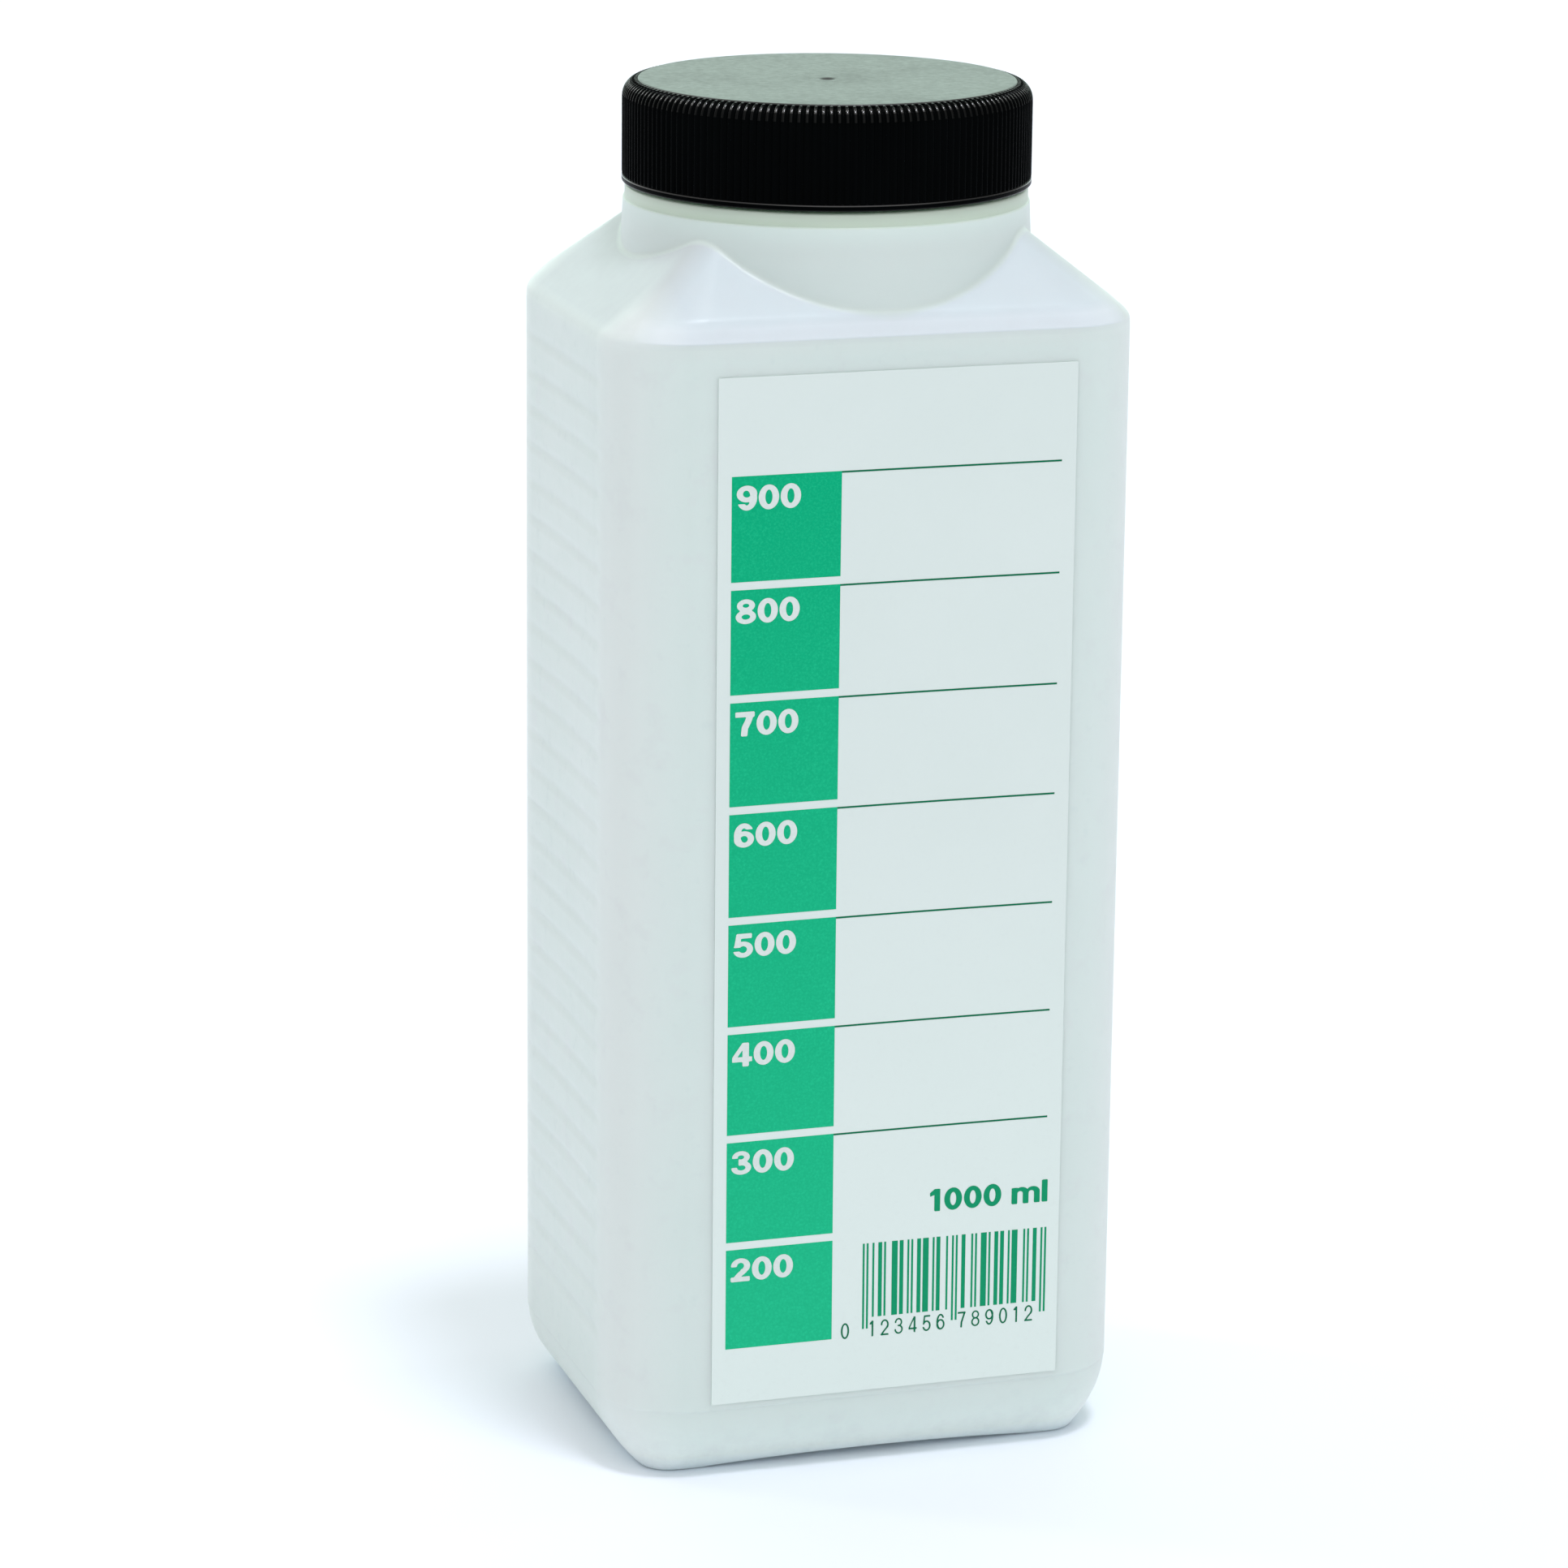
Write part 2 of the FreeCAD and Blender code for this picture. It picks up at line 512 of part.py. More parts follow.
# ------------------------------------------------------------------ label
label = new_body("label")
ls = label.newObject("Sketcher::SketchObject", "label_outline")
ls.AttachmentSupport = [(plane(label, "XZ_Plane"), "")]
ls.MapMode = "FlatFace"
lw, lh, ll, lx = val("label_wide"), val("label_high"), val("label_low"), val("label_shift")
Q = [Vector(lx - lw / 2, ll, 0), Vector(lx + lw / 2, ll, 0), Vector(lx + lw / 2, ll + lh, 0), Vector(lx - lw / 2, ll + lh, 0)]
for i in range(4):
    ls.addGeometry(Part.LineSegment(Q[i], Q[(i + 1) % 4]), False)
for i in range(4):
    ls.addConstraint(Sketcher.Constraint("Coincident", i, 2, (i + 1) % 4, 1))
ls.addConstraint([Sketcher.Constraint("Horizontal", 0), Sketcher.Constraint("Vertical", 1),
                  Sketcher.Constraint("Horizontal", 2), Sketcher.Constraint("Vertical", 3)])
n = ls.ConstraintCount
ls.addConstraint(Sketcher.Constraint("DistanceX", 0, 1, 0, 2, lw)); ls.renameConstraint(n, "wide")
ls.addConstraint(Sketcher.Constraint("DistanceY", 1, 1, 1, 2, lh)); ls.renameConstraint(n + 1, "high")
ls.addConstraint(Sketcher.Constraint("DistanceX", 0, 1, -1, 1, lw / 2 - lx)); ls.renameConstraint(n + 2, "left")
ls.addConstraint(Sketcher.Constraint("DistanceY", -1, 1, 0, 1, ll)); ls.renameConstraint(n + 3, "low")
bind(ls, "Constraints.wide", "sizes.label_wide")
bind(ls, "Constraints.high", "sizes.label_high")
bind(ls, "Constraints.left", "sizes.label_wide/2-sizes.label_shift")
bind(ls, "Constraints.low", "sizes.label_low")
# the sketch plane XZ looks along -Y, so its own normal distance to the front face is half the depth
bind(ls, "AttachmentOffset.Base.z", HY)
lpad = label.newObject("PartDesign::Pad", "label_sheet")
lpad.Profile = ls
bind(lpad, "Length", "sizes.label_thick")
doc.recompute()
bb = label.Shape.BoundBox
print("label y", bb.YMin, bb.YMax, "z", bb.ZMin, bb.ZMax, "x", bb.XMin, bb.XMax)

# ------------------------------------------------------------------ checks and files
bad = []
for o in doc.Objects:
    st = [x for x in getattr(o, "State", []) if x in ("Invalid", "Error")]
    if st:
        bad.append((o.Name, st))
nodes = {"bottle": bottle, "cap": cap, "seal_liner": liner, "label": label}
for nm, o in nodes.items():
    sh = o.Shape
    if sh.isNull() or not sh.isValid() or len(sh.Solids) != 1:
        bad.append((nm, "null, invalid or not one solid", len(sh.Solids)))
    b = sh.BoundBox
    print(nm, "volume %.0f" % sh.Volume, "box x %.2f..%.2f y %.2f..%.2f z %.2f..%.2f" % (b.XMin, b.XMax, b.YMin, b.YMax, b.ZMin, b.ZMax),
          "faces", len(sh.Faces))
if bad:
    raise RuntimeError("objects not sound: %s" % bad)
if not (v1 > v0 and v2 < v1 and v3 < v2 and v5 < v4 and v6 < v5 and v7 > v6):
    raise RuntimeError("a feature changed nothing")
os.makedirs("parts", exist_ok=True)
for nm, o in nodes.items():
    sh = o.Shape
    if sh.ShapeType == "Compound" and len(sh.Solids) == 1:
        sh = sh.Solids[0]
    sh.exportStep("parts/%s.step" % nm)
print("written")
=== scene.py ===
import bpy
import math
import numpy as np
from mathutils import Matrix, Vector


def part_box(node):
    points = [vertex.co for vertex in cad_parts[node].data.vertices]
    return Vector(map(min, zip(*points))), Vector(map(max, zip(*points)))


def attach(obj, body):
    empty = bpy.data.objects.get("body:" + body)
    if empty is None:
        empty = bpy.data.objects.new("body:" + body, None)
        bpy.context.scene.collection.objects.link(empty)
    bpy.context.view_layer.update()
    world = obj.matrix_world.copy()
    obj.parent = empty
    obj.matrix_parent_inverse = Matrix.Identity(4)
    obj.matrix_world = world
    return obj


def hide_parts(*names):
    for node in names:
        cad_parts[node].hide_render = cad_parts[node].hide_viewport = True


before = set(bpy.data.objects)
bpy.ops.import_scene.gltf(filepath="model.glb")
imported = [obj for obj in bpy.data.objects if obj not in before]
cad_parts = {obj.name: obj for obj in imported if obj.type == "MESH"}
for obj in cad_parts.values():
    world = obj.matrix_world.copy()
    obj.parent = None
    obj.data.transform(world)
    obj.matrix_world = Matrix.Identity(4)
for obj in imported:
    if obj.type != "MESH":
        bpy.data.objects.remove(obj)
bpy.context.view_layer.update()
scene = bpy.context.scene
MM = 0.001

# ------------------------------------------------------------------ sizes, in millimetres
b_lo, b_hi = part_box("bottle")
c_lo, c_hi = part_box("cap")
l_lo, l_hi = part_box("label")
d_lo, d_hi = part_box("seal_liner")
HX = b_hi[0] / MM                      # half width of the body
HY = b_hi[1] / MM                      # half depth of the body
RIM = b_hi[2] / MM                     # rim of the neck
CAP_LOW, CAP_TOP = c_lo[2] / MM, c_hi[2] / MM
CAP_R = 33.2
RC = 13.9                              # corner radius of the body
WALL = 1.3
FOOT, FOOT_STEP, FOOT_X, FOOT_Y = 12.2, 0.15, 6.7, 5.7
EDGE_X, EDGE_Y = 189.2, 191.6          # where the faces and the shoulder slopes would meet
TAN_X, TAN_Y = 1 / 0.815, 1 / 0.82     # inset per mm of height on the two pairs of slopes
NECK_R, NECK_FOOT, LEDGE, COLLAR_R, FINISH_R, BORE_R = 33.0, 33.3, 206.1, 32.7, 29.4, 27.5
PITCH, NECK_START, NECK_TURNS = 6.0, 212.4, 1.25
CAP_START, CAP_TURNS = 210.7, 1.25
GROOVES, GROOVE_STEP, GROOVE_LOW, GROOVE_HALF, GROOVE_DEEP = 27, 6.11, 22.9, 1.35, 0.24


def to_mesh(name, verts, faces, mats, face_mat=None, angle=None):
    me = bpy.data.meshes.new(name)
    me.from_pydata([tuple(v) for v in (np.asarray(verts, dtype=float) * MM)], [], faces)
    me.validate(verbose=False)
    me.update()
    ob = bpy.data.objects.new(name, me)
    scene.collection.objects.link(ob)
    for m in mats:
        me.materials.append(m)
    if face_mat is not None and len(face_mat) == len(me.polygons):
        me.polygons.foreach_set("material_index", np.asarray(face_mat, dtype=np.int32))
    me.polygons.foreach_set("use_smooth", np.ones(len(me.polygons), dtype=bool))
    if angle:
        me.set_sharp_from_angle(angle=math.radians(angle))
    me.update()
    return ob


# ------------------------------------------------------------------ shader helpers
class Tree:
    def __init__(self, name):
        self.m = bpy.data.materials.new(name)
        self.m.use_nodes = True
        self.t = self.m.node_tree
        self.b = self.t.nodes["Principled BSDF"]
        self.coord = self.n("ShaderNodeTexCoord").outputs["Object"]

    def n(self, kind, **kw):
        node = self.t.nodes.new(kind)
        for k, v in kw.items():
            setattr(node, k, v)
        return node

    def link(self, a, b):
        self.t.links.new(a, b)

    def noise(self, scale, detail=3.0, rough=0.55, coord=None, stretch=None):
        src = coord or self.coord
        if stretch:
            mp = self.n("ShaderNodeMapping")
            mp.inputs["Scale"].default_value = stretch
            self.link(src, mp.inputs["Vector"])
            src = mp.outputs["Vector"]
        t = self.n("ShaderNodeTexNoise")
        t.inputs["Scale"].default_value = scale
        t.inputs["Detail"].default_value = detail
        t.inputs["Roughness"].default_value = rough
        self.link(src, t.inputs["Vector"])
        return t.outputs["Fac"]

    def voronoi(self, scale, coord=None, feature="F1"):
        t = self.n("ShaderNodeTexVoronoi", feature=feature)
        t.inputs["Scale"].default_value = scale
        self.link(coord or self.coord, t.inputs["Vector"])
        return t.outputs["Distance"]

    def ramp(self, fac, stops):
        r = self.n("ShaderNodeValToRGB")
        e = r.color_ramp.elements
        while len(e) < len(stops):
            e.new(0.5)
        for el, (p, c) in zip(e, stops):
            el.position = p
            el.color = (c[0], c[1], c[2], 1.0) if isinstance(c, (tuple, list)) else (c, c, c, 1.0)
        self.link(fac, r.inputs["Fac"])
        return r.outputs["Color"]

    def math(self, op, a, b=None, clamp=False):
        m = self.n("ShaderNodeMath", operation=op, use_clamp=clamp)
        for i, v in enumerate((a, b)):
            if v is None:
                continue
            if isinstance(v, (int, float)):
                m.inputs[i].default_value = v
            else:
                self.link(v, m.inputs[i])
        return m.outputs[0]

    def range(self, v, a, b, c, d):
        m = self.n("ShaderNodeMapRange", clamp=True)
        self.link(v, m.inputs["Value"])
        for k, x in zip(("From Min", "From Max", "To Min", "To Max"), (a, b, c, d)):
            m.inputs[k].default_value = x
        return m.outputs["Result"]

    def mix(self, fac, a, b, blend="MIX"):
        m = self.n("ShaderNodeMix", data_type="RGBA", blend_type=blend)
        if isinstance(fac, (int, float)):
            m.inputs["Factor"].default_value = fac
        else:
            self.link(fac, m.inputs["Factor"])
        for key, v in (("A", a), ("B", b)):
            sock = [s for s in m.inputs if s.name == key and s.type == "RGBA"][0]
            if isinstance(v, (tuple, list)):
                sock.default_value = (v[0], v[1], v[2], 1.0)
            else:
                self.link(v, sock)
        return [s for s in m.outputs if s.type == "RGBA"][0]

    def axis(self, k):
        s = self.n("ShaderNodeSeparateXYZ")
        self.link(self.coord, s.inputs[0])
        return s.outputs[k]

    def bump(self, height, strength, distance, normal=None):
        b = self.n("ShaderNodeBump")
        b.inputs["Strength"].default_value = strength
        b.inputs["Distance"].default_value = distance
        self.link(height, b.inputs["Height"])
        if normal is not None:
            self.link(normal, b.inputs["Normal"])
        return b.outputs["Normal"]

    def set(self, **kw):
        for k, v in kw.items():
            k = k.replace("_", " ")
            s = self.b.inputs[k]
            if hasattr(v, "links") or hasattr(v, "is_linked"):
                self.link(v, s)
            elif isinstance(v, (tuple, list)) and len(v) == 3 and s.type == "RGBA":
                s.default_value = (v[0], v[1], v[2], 1.0)
            else:
                s.default_value = v


def milky():
    """Natural high-density polyethylene: milky, faintly green, satin, with a little mould grain and scuffing, and light
    and shade painted into its colour.
    """
    t = Tree("milky_polyethylene")
    cloud = t.noise(28.0, 3.0, 0.5)
    fine = t.noise(420.0, 2.0, 0.6)
    flow = t.noise(16.0, 2.0, 0.5, stretch=(1.0, 1.0, 0.22))
    col = t.mix(t.range(cloud, 0.35, 0.65, 0.0, 1.0), (0.659, 0.769, 0.720), (0.680, 0.781, 0.735))
    col = t.mix(t.range(flow, 0.35, 0.7, 0.0, 0.45), col, (0.685, 0.781, 0.748))
    col = t.mix(t.range(fine, 0.62, 0.8, 0.0, 0.25), col, (0.555, 0.655, 0.645))
    # colour by height: the shoulder darker and cooler than the body; painted light on its front slope where the top
    # light falls, and a painted highlight band just above the crease; painted shade on the collar under the cap;
    # painted bounce light from the floor on the foot, lighter and bluer
    z = t.axis(2)
    flat = t.n("ShaderNodeVectorMath", operation="MULTIPLY")
    t.link(t.coord, flat.inputs[0])
    flat.inputs[1].default_value = (1.0, 1.0, 0.0)
    away = t.n("ShaderNodeVectorMath", operation="LENGTH")
    t.link(flat.outputs["Vector"], away.inputs[0])
    slope = t.range(away.outputs["Value"], 0.0334, 0.0341, 0.0, 1.0)
    front = t.math("SUBTRACT", t.math("MULTIPLY", t.axis(1), -1.27), t.math("ABSOLUTE", t.axis(0)))
    # painted light: the front shoulder slope lighter and lavender, where the top light falls on it
    front_slope_light = t.math("MULTIPLY", t.range(z, 0.1890, 0.1894, 0.0, 1.0), t.range(front, -0.004, 0.004, 0.0, 1.0))
    # painted highlight: a lighter band on the front just above the crease
    lean = t.math("MULTIPLY", front_slope_light, t.range(z, 0.1912, 0.1926, 1.0, 0.0))
    col = t.mix(t.range(z, 0.1880, 0.1905, 0.0, 1.0), col, (0.530, 0.590, 0.600))
    col = t.mix(front_slope_light, col, (0.598, 0.692, 0.736))
    col = t.mix(lean, col, (0.705, 0.800, 0.850))
    neck = t.math("MULTIPLY", t.range(z, 0.1890, 0.1915, 0.0, 1.0), t.math("SUBTRACT", 1.0, slope))
    col = t.mix(neck, col, (0.648, 0.765, 0.718))
    # painted shade: the collar just under the cap darker and greener, as the shade the cap casts on it
    collar_shade = t.math("MULTIPLY", t.range(z, 0.2058, 0.2063, 0.0, 1.0), t.range(z, 0.2083, 0.2094, 1.0, 0.0))
    col = t.mix(collar_shade, col, (0.560, 0.670, 0.555))
    # painted light: the foot lighter and bluer towards the floor, as bounce light from the floor
    col = t.mix(t.range(z, 0.002, 0.013, 1.0, 0.0), col, (0.785, 0.905, 0.825))
    col = t.mix(t.range(z, 0.0008, 0.0030, 1.0, 0.0), col, (0.800, 0.980, 1.000))
    # painted light: the corners lighter, more on the left than on the right
    corner = t.math("MULTIPLY", t.range(t.math("ABSOLUTE", t.axis(0)), 0.033, 0.040, 0.0, 1.0), t.range(t.math("ABSOLUTE", t.axis(1)), 0.019, 0.025, 0.0, 1.0))
    corner = t.math("MULTIPLY", corner, t.range(t.axis(0), 0.0, 0.03, 0.38, 0.18))
    col = t.mix(corner, col, (0.90, 1.0, 0.95))
    # painted light: the front a little lighter and greener than the other faces; the back a little warmer
    below = t.range(z, 0.186, 0.1895, 1.0, 0.0)
    wide = t.math("MULTIPLY", t.range(t.axis(1), -0.0335, -0.0290, 0.17, 0.0), below)
    back = t.math("MULTIPLY", t.range(t.axis(1), 0.0290, 0.0335, 0.0, 0.2), below)
    col = t.mix(wide, col, (0.69, 1.0, 0.90))
    col = t.mix(back, col, (0.74, 0.70, 0.70))
    pink = t.math("MULTIPLY", t.range(t.noise(150.0, 3.0, 0.6), 0.56, 0.72, 0.0, 0.22), t.range(z, 0.186, 0.190, 1.0, 0.2))
    col = t.mix(pink, col, (0.655, 0.690, 0.700))
    dust = t.math("MULTIPLY", t.range(z, 0.0, 0.011, 1.0, 0.0), t.range(t.noise(260.0, 4.0, 0.7), 0.45, 0.75, 0.0, 0.35))
    col = t.mix(dust, col, (0.55, 0.62, 0.63))
    scratch = t.noise(55.0, 5.0, 0.75, stretch=(6.0, 6.0, 0.5))
    rough = t.math("ADD", t.range(fine, 0.3, 0.7, 0.34, 0.43), t.range(scratch, 0.60, 0.74, 0.0, 0.10))
    rough = t.math("ADD", rough, t.math("MULTIPLY", dust, 0.12))
    n1 = t.bump(t.noise(1500.0, 2.0, 0.6), 0.14, 0.00006)
    n2 = t.bump(t.noise(90.0, 3.0, 0.5), 0.16, 0.00035, n1)
    t.set(Base_Color=col, Roughness=rough, Normal=n2)
    t.set(Subsurface_Weight=0.6, Subsurface_Radius=(0.9, 1.0, 0.97), Subsurface_Scale=0.005, IOR=1.50)
    return t.m


def black(name, rough_lo, rough_hi, spec, tint=(0.0045, 0.0052, 0.0048)):
    """Moulded black polypropylene."""
    t = Tree(name)
    fine = t.noise(700.0, 3.0, 0.6)
    wide = t.noise(60.0, 3.0, 0.55)
    col = t.mix(t.range(wide, 0.35, 0.7, 0.0, 1.0), tint, tuple(1.5 * c for c in tint))
    rough = t.math("ADD", t.range(fine, 0.3, 0.7, rough_lo, rough_hi), t.range(wide, 0.5, 0.75, 0.0, 0.07))
    n1 = t.bump(fine, 0.16, 0.00005)
    t.set(Base_Color=col, Roughness=rough, Normal=n1)
    t.set(Specular_IOR_Level=spec, IOR=1.49)
    return t.m


def cap_top():
    """The top of the cap: the same plastic with a fine eroded grain and faint flow rings round the gate."""
    t = Tree("cap_top_plastic")
    fine = t.noise(900.0, 3.0, 0.6)
    wide = t.noise(45.0, 4.0, 0.6)
    sep = t.n("ShaderNodeVectorMath", operation="LENGTH")
    flat = t.n("ShaderNodeVectorMath", operation="MULTIPLY")
    t.link(t.coord, flat.inputs[0])
    flat.inputs[1].default_value = (1.0, 1.0, 0.0)
    t.link(flat.outputs["Vector"], sep.inputs[0])
    rad = sep.outputs["Value"]
    near = t.range(rad, 0.0015, 0.010, 1.0, 0.0)
    col = t.mix(t.range(wide, 0.35, 0.7, 0.0, 1.0), (0.0062, 0.0074, 0.0066), (0.0105, 0.0122, 0.0112))
    rough = t.math("ADD", t.range(fine, 0.3, 0.7, 0.30, 0.38), t.range(wide, 0.45, 0.75, 0.0, 0.05))
    rough = t.math("ADD", rough, t.math("MULTIPLY", near, 0.03))
    n1 = t.bump(fine, 0.10, 0.00004)
    n2 = t.bump(t.noise(14.0, 2.0, 0.5), 0.20, 0.0004, n1)
    t.set(Base_Color=col, Roughness=rough, Normal=n2)
    t.set(Specular_IOR_Level=0.5, IOR=1.50)
    return t.m


def film():
    """The label stock: pale matt film with a fine tooth."""
    t = Tree("label_film")
    fine = t.noise(1100.0, 3.0, 0.6)
    wide = t.noise(35.0, 3.0, 0.55)
    col = t.mix(t.range(wide, 0.35, 0.7, 0.0, 1.0), (0.669, 0.748, 0.719), (0.684, 0.760, 0.732))
    # painted light: the film lighter towards the foot of the label
    col = t.mix(t.range(t.axis(2), 0.015, 0.110, 1.0, 0.0), col, (0.711, 0.803, 0.768))
    col = t.mix(t.range(fine, 0.55, 0.8, 0.0, 0.3), col, (0.65, 0.72, 0.695))
    rough = t.range(fine, 0.3, 0.7, 0.46, 0.56)
    n1 = t.bump(fine, 0.12, 0.00003)
    n2 = t.bump(wide, 0.05, 0.00010, n1)
    t.set(Base_Color=col, Roughness=rough, Normal=n2)
    t.set(IOR=1.45, Specular_IOR_Level=0.4)
    return t.m


def ink(name, top, low, z_top, z_low, speck=0.35):
    """Printing ink with a fine screen grain; its tone drifts a little from the top of the label to its foot."""
    t = Tree(name)
    z = t.axis(2)
    col = t.mix(t.range(z, z_low, z_top, 0.0, 1.0), low, top)
    grain = t.noise(2600.0, 2.0, 0.7)
    dots = t.voronoi(1900.0)
    col = t.mix(t.range(grain, 0.45, 0.75, 0.0, speck), col, tuple(min(1.0, 1.30 * c + 0.006) for c in low))
    col = t.mix(t.range(dots, 0.25, 0.6, 0.0, 0.14), col, tuple(0.75 * c for c in top))
    t.set(Base_Color=col, Roughness=t.range(grain, 0.3, 0.7, 0.40, 0.52), Normal=t.bump(grain, 0.08, 0.00002))
    t.set(IOR=1.45, Specular_IOR_Level=0.06)
    return t.m


def foam():
    """The sealing disc: white foamed polyethylene with small closed cells."""
    t = Tree("foam_disc")
    cells = t.voronoi(1500.0)
    wide = t.noise(60.0, 3.0, 0.5)
    col = t.mix(t.range(cells, 0.1, 0.6, 0.0, 1.0), (0.78, 0.79, 0.77), (0.86, 0.87, 0.85))
    col = t.mix(t.range(wide, 0.4, 0.7, 0.0, 0.35), col, (0.80, 0.80, 0.76))
    t.set(Base_Color=col, Roughness=t.range(cells, 0.0, 0.6, 0.62, 0.50), Normal=t.bump(cells, 0.25, 0.00008))
    return t.m


M_MILKY = milky()
M_CAP = black("cap_side_plastic", 0.24, 0.32, 0.010, (0.0008, 0.0011, 0.0012))
M_EDGE = black("cap_edge_plastic", 0.14, 0.20, 0.12, (0.0010, 0.0013, 0.0013))
M_CREST = black("cap_rib_crest_plastic", 0.12, 0.16, 0.90, (0.0012, 0.0015, 0.0015))
M_TOP = cap_top()
M_CAP_IN = black("cap_inside_plastic", 0.34, 0.44, 0.35)
M_FILM = film()
M_GREEN = ink("scale_green", (0.0012, 0.398, 0.187), (0.016, 0.492, 0.246), 0.168, 0.020)
M_RULE = ink("rule_green", (0.006, 0.150, 0.070), (0.008, 0.160, 0.075), 0.168, 0.020, 0.1)
M_MARK = ink("mark_green", (0.006, 0.285, 0.130), (0.008, 0.295, 0.135), 0.168, 0.020, 0.1)
M_PALE = ink("numeral_pale", (0.682, 0.752, 0.722), (0.682, 0.752, 0.722), 0.168, 0.020, 0.05)
M_FOAM = foam()

# ------------------------------------------------------------------ bottle
def fillet_inset(z, edge, tan_slope, rho):
    """Inset of a slope that leaves the upright face at `edge`, rounded by a circle of radius rho."""
    th = math.atan(tan_slope)
    T = rho * math.tan(th / 2)
    z0 = edge - T
    if z <= z0:
        return 0.0
    if z < edge + T * math.cos(th):
        return rho - math.sqrt(max(rho * rho - (z - z0) ** 2, 0.0))
    return (z - edge) * tan_slope


LEAN_Z = (189.2, 189.7, 190.28, 191.1, 191.96, 192.6)
LEAN_IN = (0.0, 0.20, 0.37, 0.58, 0.87, 1.0 / 0.82)


def section(z, out=0.0):
    """Half width, half depth and corner radius of the body at height z, moved in by `out`."""
    if z < FOOT:
        u = z / FOOT
        share = (1 - u ** 0.975) ** 1.9
        step = FOOT_STEP * min(1.0, (1 - u) / 0.02)
        ix, iy = step + (FOOT_X - FOOT_STEP) * share, step + (FOOT_Y - FOOT_STEP) * share
        return HX - ix - out, HY - iy - out, max(RC - 1.36 * ix - out, 1.0)
    # front and back lean in above a crease before their slopes begin
    ix = fillet_inset(z, EDGE_X, TAN_X, 3.6)
    iy = float(np.interp(z, LEAN_Z, LEAN_IN)) if z < LEAN_Z[-1] else (z - EDGE_Y) * TAN_Y
    r = RC if z < 188 else RC - (RC - 1.5) * min((z - 188) / 18.0, 1.0)
    return HX - ix - out, HY - iy - out, max(r - out, 1.0)


def rect_radius(phi, hx, hy, r):
    """Distance from the axis to a rounded rectangle in the directions phi."""
    c, s = np.abs(np.cos(phi)), np.abs(np.sin(phi))
    cx, cy = hx - r, hy - r
    with np.errstate(divide="ignore", invalid="ignore"):
        tx = np.where(c > 1e-9, hx / np.maximum(c, 1e-9), 1e9)
        ty = np.where(s > 1e-9, hy / np.maximum(s, 1e-9), 1e9)
    t = np.minimum(tx, ty)
    px, py = t * c, t * s
    corner = (px > cx) & (py > cy)
    bq = c * cx + s * cy
    disc = np.maximum(bq * bq - (cx * cx + cy * cy - r * r), 0.0)
    return np.where(corner, bq + np.sqrt(disc), t)


def columns():
    """Directions of the grid's columns: close together round the corners and the groove ends."""
    cx, cy = HX - RC, HY - RC
    ys = np.concatenate([np.linspace(0, 16.0, 6), [17.5, 18.8, 20.0], [cy]])
    a = [math.atan2(y, HX) for y in ys]
    for k in range(1, 20):
        t = math.radians(90.0 * k / 20)
        a.append(math.atan2(cy + RC * math.sin(t), cx + RC * math.cos(t)))
    xs = np.concatenate([[cx], np.linspace(27.5, 0, 10)])
    a += [math.atan2(HY, x) for x in xs]
    q = np.array(a)
    one = np.concatenate([q[:-1], math.pi - q[::-1][:-1]])
    return np.concatenate([one, one + math.pi])


PHI_A = columns()
SUB = 3
nA = len(PHI_A)
nxt = np.concatenate([PHI_A[1:], [PHI_A[0] + 2 * math.pi]])
PHI_B = np.concatenate([PHI_A[:, None] + (nxt - PHI_A)[:, None] * np.arange(SUB) / SUB], axis=0).ravel()
nB = len(PHI_B)


def sink(x, y, z):
    """How far a face of the blown body has drawn in, at a point of its flat part."""
    wz = max(0.0, 1 - ((z - 108.0) / 84.0) ** 2)
    on_front = (np.abs(np.abs(y) - HY) < 0.02) & (np.abs(x) < HX - RC)
    on_side = (np.abs(np.abs(x) - HX) < 0.02) & (np.abs(y) < HY - RC)
    sx = 0.5 * np.maximum(0, 1 - (x / (HX - RC)) ** 2) ** 1.4 * wz
    sy = 0.3 * np.maximum(0, 1 - (y / (HY - RC)) ** 2) ** 1.4 * wz
    return np.where(on_front, sx, 0.0), np.where(on_side, sy, 0.0)


def front_sink(x, z):
    wz = np.maximum(0.0, 1 - ((z - 108.0) / 84.0) ** 2)
    return 0.5 * np.maximum(0, 1 - (x / (HX - RC)) ** 2) ** 1.4 * wz


def groove(y, z):
    """Depth of the grip grooves at a point of a side face."""
    k = round((z - GROOVE_LOW) / GROOVE_STEP)
    k = min(max(k, 0), GROOVES - 1)
    d = abs(z - GROOVE_LOW - k * GROOVE_STEP)
    prof = 0.5 + 0.5 * math.cos(math.pi * min(d / GROOVE_HALF, 1.0))
    prof = min(1.0, prof * 1.25)
    reach = 22.4
    end = np.clip((reach - np.abs(y)) / 1.6, 0.0, 1.0)
    return GROOVE_DEEP * prof * np.sqrt(np.clip(end, 0, 1))


